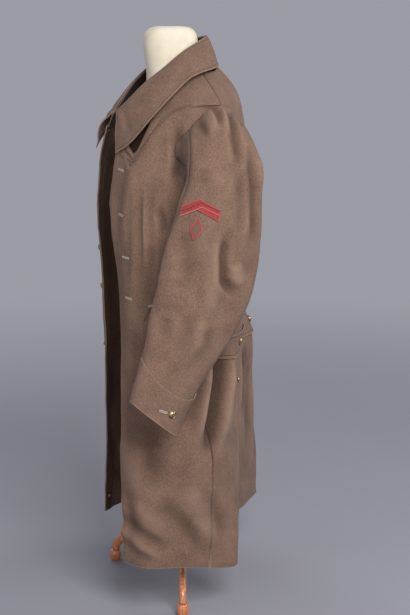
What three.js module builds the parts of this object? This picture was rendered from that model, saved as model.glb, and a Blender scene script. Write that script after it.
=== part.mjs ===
// A wool greatcoat, worn open on a limbless dress form with a three-legged stand.
// Millimetres, +Z up. The wearer faces -Y and the wearer's left side is +X.
// While the pieces are made, the stand's pole is the Z axis. The last lines move the origin
// to the middle of the footprint.

import * as THREE from 'three';

// Driving dimensions
const CLOTH = 2.6; // milled wool, one layer
const FACING = 1.6; // inner layer along the front edges
const SEAM = 0.3; // clear space between two pieces that are sewn together
const HEM_Z = 134; // front hem above the floor
const HEM_DROP = { left: 30, right: -4 }; // how much lower each half hangs at the vent
const BELT_FOOT_Z = 601; // lower and upper edge of the half belt
const BELT_HEAD_Z = 655;
const VENT_TOP_Z = 605;
const BACK_JOINED_Z = 655; // above this the two backs are sewn together
const ARMPIT_Z = 1034;
const SHOULDER_Z = 1183;
const NECK_SIDE_Z = 1250; // where the shoulder seam meets the neckline
const NAPE_Z = 1268;
const BUTTON_D = 18;
const SMALL_BUTTON_D = 12;

const WOOL = { color: 0x6f5d4f, roughness: 0.95, metalness: 0 };
const WOOL_INSIDE = { color: 0x43352b, roughness: 0.95, metalness: 0 };
const BRASS = { color: 0xb08d4a, roughness: 0.35, metalness: 1 };
const CREAM_CLOTH = { color: 0xe6dfd0, roughness: 0.9, metalness: 0 };
const VARNISHED_WOOD = { color: 0xa2542a, roughness: 0.3, metalness: 0 };
const RED_FELT = { color: 0x9c2b28, roughness: 0.9, metalness: 0 };

const model = new THREE.Group();

// Small helpers: smooth steps, and a smooth curve through the rows of a table
const clamp = (v, lo, hi) => Math.min(hi, Math.max(lo, v));
const mix = (a, b, k) => a + (b - a) * k;
const smooth = (a, b, v) => {
  const k = clamp((v - a) / (b - a), 0, 1);
  return k * k * (3 - 2 * k);
};
const bump = (v, centre, width) => Math.exp(-(((v - centre) / width) ** 2));

function throughRows(rows, key, value, at) {
  const last = rows.length - 1;
  let i = 0;
  while (i < last - 1 && at > rows[i + 1][key]) i += 1;
  const x0 = rows[i][key];
  const x1 = rows[i + 1][key];
  const k = clamp((at - x0) / (x1 - x0), 0, 1);
  const slope = (a, b) => (rows[b][value] - rows[a][value]) / (rows[b][key] - rows[a][key]);
  const m0 = (i > 0 ? slope(i - 1, i + 1) : slope(i, i + 1)) * (x1 - x0);
  const m1 = (i + 1 < last ? slope(i, i + 2) : slope(i, i + 1)) * (x1 - x0);
  const p0 = rows[i][value];
  const p1 = rows[i + 1][value];
  const k2 = k * k;
  const k3 = k2 * k;
  return (2 * k3 - 3 * k2 + 1) * p0 + (k3 - 2 * k2 + k) * m0
    + (-2 * k3 + 3 * k2) * p1 + (k3 - k2) * m1;
}

// Solids: a sheet given by rows of points becomes a closed wall, and a stack of rings a body
function addSolid(name, positions, faces, finish) {
  const geometry = new THREE.BufferGeometry();
  geometry.setAttribute('position', new THREE.Float32BufferAttribute(positions.flat(), 3));
  geometry.setIndex(faces.flat());
  const mesh = new THREE.Mesh(geometry, new THREE.MeshStandardMaterial(finish));
  mesh.name = name;
  model.add(mesh);
}

function sheetNormals(points, closed) {
  const rows = points.length;
  const cols = points[0].length;
  const column = (j) => (closed ? (j + cols) % cols : clamp(j, 0, cols - 1));
  const at = (i, j) => points[clamp(i, 0, rows - 1)][column(j)];
  return points.map((row, i) => row.map((p, j) => {
    const du = new THREE.Vector3().subVectors(at(i, j + 1), at(i, j - 1));
    const dv = new THREE.Vector3().subVectors(at(i + 1, j), at(i - 1, j));
    return du.cross(dv).normalize();
  }));
}

// points[row][column], rows rising and columns running so that the normals point outwards
function wall(name, points, thickness, finish, closed = false, given = null) {
  const rows = points.length;
  const cols = points[0].length;
  const normals = given || sheetNormals(points, closed);
  const outer = points.flat();
  const inner = points.map((row, i) => row.map((p, j) => (
    p.clone().addScaledVector(normals[i][j], -thickness)))).flat();
  const all = outer.concat(inner).map((p) => [p.x, p.y, p.z]);
  const half = rows * cols;
  const faces = [];
  const quad = (a, b, c, d) => faces.push([a, b, c], [a, c, d]);
  const spans = closed ? cols : cols - 1;
  for (let i = 0; i < rows - 1; i += 1) {
    for (let j = 0; j < spans; j += 1) {
      const a = i * cols + j;
      const b = i * cols + ((j + 1) % cols);
      quad(a, b, b + cols, a + cols);
      quad(half + a, half + a + cols, half + b + cols, half + b);
    }
  }
  for (let j = 0; j < spans; j += 1) {
    const k = (j + 1) % cols;
    const top = (rows - 1) * cols;
    quad(j, half + j, half + k, k);
    quad(top + j, top + k, half + top + k, half + top + j);
  }
  if (!closed) {
    for (let i = 0; i < rows - 1; i += 1) {
      const a = i * cols;
      const b = a + cols - 1;
      quad(a, a + cols, half + a + cols, half + a);
      quad(b, half + b, half + b + cols, b + cols);
    }
  }
  addSolid(name, all, faces, finish);
}

// rings[level][point], levels rising and points anticlockwise seen from above
function stack(name, rings, finish) {
  const count = rings[0].length;
  const all = rings.flat().map((p) => [p.x, p.y, p.z]);
  const faces = [];
  for (let i = 0; i < rings.length - 1; i += 1) {
    for (let j = 0; j < count; j += 1) {
      const a = i * count + j;
      const b = i * count + ((j + 1) % count);
      faces.push([a, b, b + count], [a, b + count, a + count]);
    }
  }
  const cap = (level, up) => {
    const ring = rings[level];
    const middle = ring.reduce((s, p) => s.add(p), new THREE.Vector3()).divideScalar(count);
    const hub = all.push([middle.x, middle.y, middle.z]) - 1;
    for (let j = 0; j < count; j += 1) {
      const a = level * count + j;
      const b = level * count + ((j + 1) % count);
      faces.push(up ? [hub, a, b] : [hub, b, a]);
    }
  };
  cap(0, false);
  cap(rings.length - 1, true);
  addSolid(name, all, faces, finish);
}

// The coat's body: plan sections from hem to neck. Each half has five stations, from the front
// edge round the side to the centre back. x is measured outwards from the middle on both halves.
const table = (columns, rows) => rows.map((row) => (
  Object.fromEntries(columns.map((column, i) => [column, row[i]]))));
const SECTION_COLUMNS = ['z', 'edgeX', 'edgeY', 'frontX', 'frontY', 'sideX', 'sideY',
  'quarterX', 'quarterY', 'backX', 'backY'];
const LEFT_SECTIONS = table(SECTION_COLUMNS, [
  [134, 176, -186, 238, -138, 240, -36, 224,  34, 190,  88],
  [300, 142, -182, 212, -140, 232, -38, 198,  52, 104, 116],
  [450, 116, -172, 188, -144, 224, -36, 178,  66,  56, 124],
  [600,  96, -169, 165, -148, 210, -28, 156,  84,  26, 133],
  [655,  87, -168, 154, -146, 200, -22, 146,  98, 0.3, 142],
  [780,  73, -170, 145, -146, 191, -10, 144, 108, 0.3, 149],
  [900,  62, -182, 139, -148, 186,   4, 146, 108, 0.3, 150],
  [1000,  56, -181, 134, -138, 185,  12, 146, 107, 0.3, 150],
  [1060,  50, -168, 128, -126, 187,  16, 147, 106, 0.3, 150],
  [1110,  46, -160, 121, -115, 189,  18, 145, 104, 0.3, 149],
  [1150,  42, -150, 112, -104, 192,  20, 140, 101, 0.3, 144],
  [1185,  37, -136,  98,  -92, 190,  20, 128,  96, 0.3, 136],
  [1215,  32, -120,  80,  -80, 140,  16, 106,  88, 0.3, 125],
  [1245,  26, -104,  62,  -66,  84,  12,  70,  72, 0.3,  99],
  [1275,  20,  -90,  48,  -54,  58,   8,  46,  50, 0.3,  66],
]);
// The right half's front edge stands further forward, and its skirt swings out behind
const RIGHT_SECTIONS = table(SECTION_COLUMNS, [
  [134, 168, -163, 222, -104, 272,  40, 208, 252,  40, 138],
  [300, 142, -162, 208, -112, 260,  24, 166, 238,  16, 132],
  [450, 122, -164, 190, -126, 242,   8, 148, 226,   0, 130],
  [600, 102, -169, 166, -142, 216,  -6, 118, 202, -12, 130],
  [655,  91, -173, 155, -146, 202,  -8, 114, 176, 0.3, 142],
  [780,  76, -179, 145, -146, 191, -10, 142, 124, 0.3, 149],
  [900,  66, -189, 139, -148, 186,   4, 146, 108, 0.3, 150],
  [1000,  60, -188, 134, -138, 185,  12, 146, 107, 0.3, 150],
  [1060,  54, -182, 128, -126, 187,  16, 147, 106, 0.3, 150],
  [1110,  46, -172, 121, -115, 189,  18, 145, 104, 0.3, 149],
  [1150,  40, -160, 112, -104, 192,  20, 140, 101, 0.3, 144],
  [1185,  37, -136,  98,  -92, 190,  20, 128,  96, 0.3, 136],
  [1215,  32, -120,  80,  -80, 140,  16, 106,  88, 0.3, 125],
  [1245,  26, -104,  62,  -66,  84,  12,  70,  72, 0.3,  99],
  [1275,  20,  -90,  48,  -54,  58,   8,  46,  50, 0.3,  66],
]);
const SECTIONS = { left: LEFT_SECTIONS, right: RIGHT_SECTIONS };
const STATIONS = ['edge', 'front', 'side', 'quarter', 'back'];

// The largest soft folds of the skirt. u runs from the front edge (0) to the centre back (1).
const FOLDS = {
  left: [
    { u: 0.66, lean: -0.045, top: 655, foot: 390, width: 0.034, depth: -20 },
    { u: 0.73, lean: -0.04, top: 620, foot: 360, width: 0.03, depth: 6 },
    { u: 0.56, lean: -0.02, top: 560, foot: 340, width: 0.03, depth: -6 },
    { u: 0.34, lean: 0.06, top: 450, foot: 180, width: 0.065, depth: -12 },
    { u: 0.9, lean: 0.02, top: 560, foot: 134, width: 0.05, depth: 5 },
    { u: 0.16, lean: 0.1, top: 900, foot: 620, width: 0.06, depth: -5 },
  ],
  right: [
    { u: 0.6, lean: -0.06, top: 600, foot: 134, width: 0.05, depth: -16 },
    { u: 0.38, lean: 0.04, top: 540, foot: 134, width: 0.06, depth: -12 },
    { u: 0.84, lean: 0.0, top: 560, foot: 134, width: 0.05, depth: -10 },
    { u: 0.16, lean: 0.08, top: 860, foot: 600, width: 0.06, depth: -5 },
  ],
};

function foldDepth(side, u, z) {
  return FOLDS[side].reduce((sum, f) => {
    const run = clamp((f.top - z) / (f.top - f.foot), 0, 1);
    const dies = f.foot > HEM_Z ? smooth(f.foot - 60, f.foot + 60, z) : 1;
    const fade = smooth(f.top + 20, f.top - 60, z) * dies;
    return sum + f.depth * fade * bump(u, f.u + f.lean * run, f.width);
  }, 0);
}

// One point of the coat's outer face, with its folds
function bodyFace(side, u, z) {
  const rows = SECTIONS[side];
  const station = (name) => new THREE.Vector2(
    throughRows(rows, 'z', `${name}X`, z), throughRows(rows, 'z', `${name}Y`, z));
  const p = STATIONS.map(station);
  if (z > BACK_JOINED_Z) p[4].x = SEAM;
  const before = p[0].clone().multiplyScalar(2).sub(p[1]).lerp(p[0], 0.4);
  const joined = smooth(VENT_TOP_Z, VENT_TOP_Z + 60, z);
  const mirrored = new THREE.Vector2(-p[3].x, p[3].y);
  const after = p[4].clone().multiplyScalar(2).sub(p[3]).lerp(mirrored, joined);
  const q = [before, ...p, after];
  const spline = (w) => {
    const s = w * 4;
    const i = clamp(Math.floor(s), 0, 3);
    const k = s - i;
    const [a, b, c, d] = [q[i], q[i + 1], q[i + 2], q[i + 3]];
    const axis = (n) => 0.5 * (2 * b[n] + (c[n] - a[n]) * k
      + (2 * a[n] - 5 * b[n] + 4 * c[n] - d[n]) * k * k
      + (3 * b[n] - a[n] - 3 * c[n] + d[n]) * k * k * k);
    return new THREE.Vector2(axis('x'), axis('y'));
  };
  const here = spline(u);
  const along = spline(u + 0.005).sub(spline(u - 0.005)).normalize();
  const push = foldDepth(side, u, z);
  const mirror = side === 'left' ? 1 : -1;
  return new THREE.Vector3(
    mirror * (here.x + along.y * push), here.y - along.x * push, z);
}

function bodyNormal(side, u, z) {
  const du = bodyFace(side, u + 0.01, z).sub(bodyFace(side, u - 0.01, z));
  const dz = bodyFace(side, u, z + 4).sub(bodyFace(side, u, z - 4));
  const n = du.cross(dz).normalize();
  return side === 'left' ? n : n.negate();
}

const bodyPoint = (side, u, z, out = 0) => (
  bodyFace(side, u, z).addScaledVector(bodyNormal(side, u, z), out));

// The seam between front and back: behind the side in the skirt, forward to the side under the
// arm, then back again over the shoulder
const SIDE_SEAM = { skirtU: 0.645, armpitU: 0.5, shoulderU: 0.57 };
function seamU(z) {
  const under = mix(SIDE_SEAM.skirtU, SIDE_SEAM.armpitU, smooth(BELT_HEAD_Z + 20, ARMPIT_Z - 40, z));
  return mix(under, SIDE_SEAM.shoulderU, smooth(ARMPIT_Z + 40, SHOULDER_Z, z));
}

// Armhole: an opening with full, rounded corners, wider behind than in front
const ARMHOLE = { frontU: 0.125, backU: 0.115, squareness: 2.5 };
function armholeReach(z, reach) {
  if (z <= ARMPIT_Z || z >= SHOULDER_Z) return 0;
  const k = Math.abs((2 * (z - ARMPIT_Z)) / (SHOULDER_Z - ARMPIT_Z) - 1);
  return reach * (1 - k ** ARMHOLE.squareness) ** (1 / ARMHOLE.squareness);
}

// Height of the neckline from the front edge over the shoulder to the nape. On the left it dips
// below the edge of the collar's leaf.
const NECKLINE = table(['u', 'left', 'right'], [
  [0, 1100, 1124],
  [0.1, 1100, 1130],
  [0.155, 1084, 1146],
  [0.18, 1062, 1158],
  [0.21, 1070, 1178],
  [0.24, 1104, 1198],
  [0.29, 1178, 1222],
  [0.33, 1226, 1240],
  [0.38, NECK_SIDE_Z, NECK_SIDE_Z],
  [0.4, NECK_SIDE_Z, NECK_SIDE_Z],
]);
const necklineZ = (side, u) => (u < 0.4
  ? throughRows(NECKLINE, 'u', side, u)
  : mix(NECK_SIDE_Z, NAPE_Z, smooth(0.66, 1, u)));

// Heights of the rows at the side seam and shoulder, and how far each has risen to the neckline
function rowHeights() {
  const rows = [];
  const skirtRows = 10;
  for (let i = 0; i < skirtRows; i += 1) rows.push({ side: mix(HEM_Z, BELT_FOOT_Z, i / skirtRows) });
  const beltRows = 3;
  for (let i = 0; i < beltRows; i += 1) rows.push({ side: mix(BELT_FOOT_Z, BELT_HEAD_Z, i / beltRows) });
  const bodyRows = 5;
  for (let i = 0; i < bodyRows; i += 1) rows.push({ side: mix(BELT_HEAD_Z, ARMPIT_Z, i / bodyRows) });
  const armRows = 8;
  for (let i = 0; i < armRows; i += 1) {
    const k = 0.5 - 0.5 * Math.cos((Math.PI * i) / armRows);
    rows.push({ side: mix(ARMPIT_Z, SHOULDER_Z, k) });
  }
  const neckRows = 4;
  for (let i = 0; i <= neckRows; i += 1) rows.push({ side: mix(SHOULDER_Z, NECK_SIDE_Z, i / neckRows) });
  return rows.map((r) => (
    { side: r.side, rise: (r.side - ARMPIT_Z) / (NECK_SIDE_Z - ARMPIT_Z) }));
}
const ROWS = rowHeights();

function rowZ(side, row, u) {
  const upper = row.side <= ARMPIT_Z ? row.side : mix(ARMPIT_Z, necklineZ(side, u), row.rise);
  const fall = smooth(500, HEM_Z, row.side) * HEM_DROP[side] * smooth(0.3, 1, u);
  return upper - fall;
}

// The places of a front or back panel's points, its outer edge drawn in along the armhole
function panelPlaces(side, part, columns) {
  return ROWS.map((row) => {
    const places = [];
    for (let j = 0; j <= columns; j += 1) {
      const k = j / columns;
      const u = part === 'front'
        ? mix(0, seamU(row.side) - armholeReach(row.side, ARMHOLE.frontU), k)
        : mix(seamU(row.side) + armholeReach(row.side, ARMHOLE.backU), 1, k);
      places.push({ u, z: rowZ(side, row, u) });
    }
    return places;
  });
}

// Draws a sheet's last column or first column in, so that sewn pieces stay a seam apart
function trimColumns(points, first, last) {
  return points.map((row) => row.map((p, j) => {
    if (j === 0 && first) return p.clone().add(row[1].clone().sub(p).setLength(first));
    const n = row.length - 1;
    if (j === n && last) return p.clone().add(row[n - 1].clone().sub(p).setLength(last));
    return p.clone();
  }));
}

const reversed = (rows) => rows.map((row) => row.slice().reverse());
const outward = (side, points) => (side === 'left' ? points : reversed(points));

const FRONT_COLUMNS = 11;
const BACK_COLUMNS = 8; // the half belt and the vent facing use the same columns
function panel(name, side, part, columns, trimFirst, trimLast) {
  const places = panelPlaces(side, part, columns);
  const points = places.map((row) => row.map((p) => bodyPoint(side, p.u, p.z)));
  const normals = places.map((row) => row.map((p) => bodyNormal(side, p.u, p.z)));
  const trimmed = trimColumns(points, trimFirst, trimLast);
  wall(name, outward(side, trimmed), CLOTH, WOOL, false, outward(side, normals));
}

for (const side of ['left', 'right']) {
  panel(`front_${side}`, side, 'front', FRONT_COLUMNS, 0, SEAM);
  panel(`back_${side}`, side, 'back', BACK_COLUMNS, SEAM, 0.1);
}

// Facings: a second layer of the wool inside each front edge, on the front's own columns
const FACING_COLUMNS = 2;
for (const side of ['left', 'right']) {
  const places = panelPlaces(side, 'front', FRONT_COLUMNS).slice(0, -2)
    .map((row) => row.slice(0, FACING_COLUMNS + 1));
  const points = places.map((row) => row.map((p) => bodyPoint(side, p.u, p.z, -CLOTH - SEAM)));
  const normals = places.map((row) => row.map((p) => bodyNormal(side, p.u, p.z)));
  wall(`facing_${side}`, outward(side, points), FACING, WOOL_INSIDE, false, outward(side, normals));
}

// Vent: the left edge has a facing inside, and the right edge runs on under it as an underlap
const ventRows = ROWS.map((row, i) => i).filter((i) => ROWS[i].side <= BELT_FOOT_Z + 1);
{
  const places = panelPlaces('left', 'back', BACK_COLUMNS).slice(0, ventRows.length)
    .map((row) => row.slice(-3));
  const inside = -CLOTH - SEAM;
  const points = places.map((row) => row.map((p) => bodyPoint('left', p.u, p.z, inside)));
  const normals = places.map((row) => row.map((p) => bodyNormal('left', p.u, p.z)));
  wall('vent_facing', points, FACING, WOOL, false, normals);
}
const UNDERLAP = { reach: 66, inward: 34 };
wall('vent_underlap', ventRows.map((i) => {
  const z = rowZ('right', ROWS[i], 1);
  const edge = bodyPoint('right', 1, z, -CLOTH - SEAM);
  return [1, 0.7, 0.35, 0].map((k) => new THREE.Vector3(
    edge.x + UNDERLAP.reach * k, edge.y - UNDERLAP.inward * k * (0.5 + 0.5 * k), z));
}), FACING, WOOL);

// Collar: a stand sewn round the neckline, and a broad fall that turns down from its fold.
// Stations run from the front end (0) to the nape (0.5) and on to the other front end (1).
const COLLAR_CLOTH = 2.2;
const COLLAR = [
  { s: 0, foldX: 38, foldY: -158, foldZ: 1166, edgeX: 66, edgeY: -166, edgeZ: 1070, roll: 5 },
  { s: 0.08, foldX: 48, foldY: -135, foldZ: 1190, edgeX: 112, edgeY: -142, edgeZ: 1098, roll: 9 },
  { s: 0.17, foldX: 60, foldY: -98, foldZ: 1228, edgeX: 138, edgeY: -96, edgeZ: 1158, roll: 12 },
  { s: 0.27, foldX: 66, foldY: -50, foldZ: 1266, edgeX: 138, edgeY: -46, edgeZ: 1210, roll: 12 },
  { s: 0.36, foldX: 60, foldY: -8, foldZ: 1298, edgeX: 118, edgeY: 0, edgeZ: 1244, roll: 11 },
  { s: 0.43, foldX: 38, foldY: 38, foldZ: 1321, edgeX: 80, edgeY: 60, edgeZ: 1259, roll: 8 },
  { s: 0.5, foldX: 0, foldY: 64, foldZ: 1330, edgeX: 0, edgeY: 88, edgeZ: 1261, roll: 3 },
];
const COLLAR_COLUMNS = 34;
// The right leaf hangs further forward and rounder than the left, from a lower fold
const RIGHT_LEAF = { forward: 20, lower: 16, rounder: 15 };

function collarStation(s) {
  const half = s <= 0.5 ? s : 1 - s;
  const mirror = s <= 0.5 ? 1 : -1;
  const at = (value) => throughRows(COLLAR, 's', value, half);
  const share = s <= 0.5 ? 0 : smooth(0.24, 0, half);
  const edgeY = at('edgeY') - RIGHT_LEAF.forward * share;
  return {
    fold: new THREE.Vector3(
      mirror * at('foldX'), at('foldY'), at('foldZ') - RIGHT_LEAF.lower * share),
    edge: new THREE.Vector3(mirror * at('edgeX'), edgeY, at('edgeZ')),
    roll: at('roll') + RIGHT_LEAF.rounder * share,
  };
}

// The foot of the collar's stand at the same stations, just below and inside the neckline
function standFoot(s) {
  const side = s <= 0.5 ? 'left' : 'right';
  const u = clamp((s <= 0.5 ? s : 1 - s) * 2, 0, 1);
  const reach = 0.035 * smooth(0.3, 0.24, u);
  const near = [-reach, 0, reach].map((d) => necklineZ(side, clamp(u + d, 0, 1)));
  const inside = -CLOTH - SEAM - mix(1.9, 3.6, smooth(0.5, 0.7, u)) - 5 * bump(u, 0.29, 0.045);
  return bodyPoint(side, u, Math.min(...near) - 2, inside);
}

const collarPlaces = [];
for (let j = 0; j <= COLLAR_COLUMNS; j += 1) collarPlaces.push(j / COLLAR_COLUMNS);

// The stand rises inside the neckline to just under the fold
const standRows = [0, 0.35, 0.7, 1];
wall('collar_stand', standRows.map((k) => collarPlaces.map((s) => {
  const foot = standFoot(s);
  const head = collarStation(s).fold.add(new THREE.Vector3(0, 0, -2.4));
  const inward = new THREE.Vector3(-head.x, -head.y, 0).setLength(1.5);
  return foot.lerp(head.add(inward), k);
})), COLLAR_CLOTH, WOOL);

// The fall: a rounded fold, then the leaf down to its outer edge
const fallRows = [1, 0.8, 0.6, 0.4, 0.2, 0.07, 0];
wall('collar_fall', fallRows.map((k) => collarPlaces.map((s) => {
  const { fold, edge, roll } = collarStation(s);
  const outwards = new THREE.Vector3(fold.x * 1.3, fold.y, 0).setLength(1);
  const lift = Math.sin(Math.PI * Math.min(1, k * 1.15 + 0.02)) * roll * 0.55;
  return fold.clone().lerp(edge, k).addScaledVector(outwards, lift + 4 * smooth(0, 0.1, k))
    .add(new THREE.Vector3(0, 0, lift * 0.25));
})), COLLAR_CLOTH, WOOL);

// Sleeves: rings from the cuff up. w is the half width fore and aft, d the half thickness,
// and tilt is how far each ring leans as the forearm swings forward.
const SLEEVE = [
  { z: 512, x: 300, y: -142, w: 64, d: 33, tilt: 40 },
  { z: 560, x: 296, y: -121, w: 69, d: 35, tilt: 37 },
  { z: 605, x: 291, y: -101, w: 74, d: 37, tilt: 34 },
  { z: 650, x: 285, y: -78, w: 83, d: 40, tilt: 29 },
  { z: 710, x: 278, y: -49, w: 97, d: 43, tilt: 23 },
  { z: 770, x: 271, y: -23, w: 110, d: 46, tilt: 17 },
  { z: 820, x: 265, y: -5, w: 112, d: 48, tilt: 11 },
  { z: 880, x: 259, y: 8, w: 107, d: 50, tilt: 8 },
  { z: 940, x: 254, y: 20, w: 99, d: 52, tilt: 6 },
  { z: 985, x: 250, y: 28, w: 93, d: 53, tilt: 6 },
  { z: 1024, x: 248, y: 34, w: 87, d: 54, tilt: 5 },
];
const SLEEVE_TOP_Z = 1024;
const CUFF_SEAM_Z = 606;
const CUFF_OUT = 3.2; // the cuff's outer face stands this far out from the sleeve's
const CUFF_CLOTH = 2;
const CUFF_DIP = 27; // the cuff's upper edge curves down on the outer face
const SLEEVE_FOOT_Z = 512;
const SLEEVE_COUNT = 18;
const HIND_SEAM = 1; // ring steps from the rear line to the seam behind the arm
const SLEEVE_FOLDS = {
  left: [
    { angle: 62, z: 800, height: 60, width: 30, depth: -6 },
    { angle: 150, z: 880, height: 130, width: 22, depth: -4 },
    { angle: 100, z: 700, height: 70, width: 26, depth: 3 },
    { angle: 205, z: 790, height: 40, width: 34, depth: -9 },
  ],
  right: [
    { angle: 70, z: 780, height: 50, width: 28, depth: -6 },
    { angle: 140, z: 860, height: 120, width: 24, depth: -5 },
    { angle: 210, z: 800, height: 42, width: 36, depth: -9 },
  ],
};

// The right forearm hangs straighter than the left
const RIGHT_FOREARM = { back: 70, upright: 17 };

function sleeveRingPoint(side, z, degrees, out = 0) {
  const at = (value) => throughRows(SLEEVE, 'z', value, z);
  const hang = side === 'right' ? smooth(800, SLEEVE_FOOT_Z, z) : 0;
  const tilt = THREE.MathUtils.degToRad(at('tilt') - RIGHT_FOREARM.upright * hang);
  const a = THREE.MathUtils.degToRad(degrees);
  const crease = SLEEVE_FOLDS[side].reduce((sum, f) => {
    const away = ((degrees - f.angle + 540) % 360) - 180;
    return sum + f.depth * bump(away, 0, f.width) * bump(z, f.z, f.height);
  }, 0);
  const w = at('w') + out + crease;
  const d = at('d') + out + crease;
  const mirror = side === 'left' ? 1 : -1;
  const across = Math.cos(a) * w;
  return new THREE.Vector3(
    mirror * (at('x') + Math.sin(a) * d),
    at('y') + RIGHT_FOREARM.back * hang + across * Math.cos(tilt),
    z - across * Math.sin(tilt));
}

// The sleeve head: from the armhole loop, out over the shoulder and down to the first ring
function armholePoint(side, degrees, out) {
  const a = THREE.MathUtils.degToRad(degrees);
  const full = (v) => Math.sign(v) * Math.abs(v) ** (2 / ARMHOLE.squareness);
  const z = mix(ARMPIT_Z, SHOULDER_Z, 0.5 + 0.5 * full(Math.sin(a)));
  const reach = Math.cos(a) > 0 ? ARMHOLE.backU : ARMHOLE.frontU;
  return bodyPoint(side, seamU(z) + reach * full(Math.cos(a)), z, out);
}

function sleeveHeadPoint(side, degrees, k) {
  const start = armholePoint(side, degrees, SEAM + 0.8);
  const end = sleeveRingPoint(side, SLEEVE_TOP_Z, degrees);
  const behind = mix(0.5, 1.15, smooth(-0.2, 0.7, Math.cos(THREE.MathUtils.degToRad(degrees))));
  const gathers = 1.6 * Math.cos(THREE.MathUtils.degToRad(degrees * 8)) * smooth(0, 0.35, k)
    * smooth(1, 0.5, k) * smooth(-0.2, 0.5, Math.sin(THREE.MathUtils.degToRad(degrees)));
  const corner = new THREE.Vector3(
    mix(start.x, end.x, 0.8), mix(start.y, end.y, behind), mix(start.z, end.z, 0.08));
  const p = start.multiplyScalar((1 - k) ** 2)
    .addScaledVector(corner, 2 * k * (1 - k)).addScaledVector(end, k * k);
  p.x += (side === 'left' ? 1 : -1) * gathers;
  return p;
}

const HEAD_STEPS = [0, 0.12, 0.26, 0.42, 0.6, 0.8];
const ARM_STEPS = 14;
const SEAM_TURN = 32; // degrees by which the seams run behind and under the upper arm
function sleeveRows(side) {
  const angles = [];
  for (let j = 0; j < SLEEVE_COUNT; j += 1) angles.push((360 * j) / SLEEVE_COUNT);
  const behind = (z) => SEAM_TURN * smooth(830, 970, z);
  const head = HEAD_STEPS.map((k) => angles.map((a) => sleeveHeadPoint(side, a - SEAM_TURN, k)));
  const arm = [];
  for (let i = 0; i <= ARM_STEPS; i += 1) {
    const z = mix(SLEEVE_TOP_Z, SLEEVE_FOOT_Z + 4, i / ARM_STEPS);
    arm.push(angles.map((a) => sleeveRingPoint(side, z, a - behind(z))));
  }
  return head.concat(arm);
}

// Takes the columns first..last out of closed rings, round past the start where needed
const takeColumns = (rows, first, last) => rows.map((row) => {
  const out = [];
  for (let j = first; j <= last; j += 1) out.push(row[(j + row.length) % row.length].clone());
  return out;
});

for (const side of ['left', 'right']) {
  const rows = outward(side, sleeveRows(side));
  const normals = sheetNormals(rows, true);
  const half = SLEEVE_COUNT / 2;
  const last = SLEEVE_COUNT - 1;
  const first = side === 'left' ? HIND_SEAM : last - HIND_SEAM - half;
  const cut = (name, from, to) => {
    const points = trimColumns(takeColumns(rows, from, to), SEAM / 2, SEAM / 2);
    wall(name, points, CLOTH, WOOL, false, takeColumns(normals, from, to));
  };
  cut(`sleeve_top_${side}`, first, first + half);
  cut(`sleeve_under_${side}`, first + half, first + SLEEVE_COUNT);

  // Cuff: a second layer turned up round the sleeve's end
  const cuffSteps = 5;
  const cuff = [];
  for (let i = 0; i <= cuffSteps; i += 1) {
    const ring = [];
    for (let j = 0; j < SLEEVE_COUNT; j += 1) {
      const degrees = (360 * j) / SLEEVE_COUNT;
      const dip = CUFF_DIP * Math.max(0, Math.sin(THREE.MathUtils.degToRad(degrees + 10)));
      const z = mix(CUFF_SEAM_Z - dip, SLEEVE_FOOT_Z, i / cuffSteps);
      ring.push(sleeveRingPoint(side, z, degrees, CUFF_OUT));
    }
    cuff.push(ring);
  }
  wall(`cuff_${side}`, outward(side, cuff), CUFF_CLOTH, WOOL, true);
}

// Half belt across the back waist, from side seam to side seam
const BELT_CLOTH = 2.4;
const BELT_GAP = 1.4;
const beltColumns = [];
for (let j = 0; j <= BACK_COLUMNS; j += 1) {
  beltColumns.push({ side: 'left', u: mix(SIDE_SEAM.skirtU, 1, j / BACK_COLUMNS) });
}
beltColumns.push(...beltColumns.slice().reverse().map(({ u }) => ({ side: 'right', u })));
const beltRows = ROWS.map((row) => row.side)
  .filter((z) => z >= BELT_FOOT_Z - 1 && z <= BELT_HEAD_Z + 1);
const BELT_MIDDLE_Z = (BELT_FOOT_Z + BELT_HEAD_Z) / 2;
wall('half_belt', beltRows.map((z) => beltColumns.map((c) => (
  bodyPoint(c.side, c.u, z, BELT_GAP + BELT_CLOTH)))), BELT_CLOTH, WOOL);

// Domed buttons, each turned to stand on its cloth
function button(name, place, facing, diameter, finish) {
  const r = diameter / 2;
  const profile = [
    [0, 0], [r * 0.86, 0], [r, r * 0.14], [r * 0.94, r * 0.34], [r * 0.6, r * 0.58], [0, r * 0.68],
  ].map(([x, y]) => new THREE.Vector2(x, y));
  const mesh = new THREE.Mesh(
    new THREE.LatheGeometry(profile, 12), new THREE.MeshStandardMaterial(finish));
  mesh.name = name;
  mesh.quaternion.setFromUnitVectors(new THREE.Vector3(0, 1, 0), facing.clone().normalize());
  mesh.position.copy(place);
  model.add(mesh);
}

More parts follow.
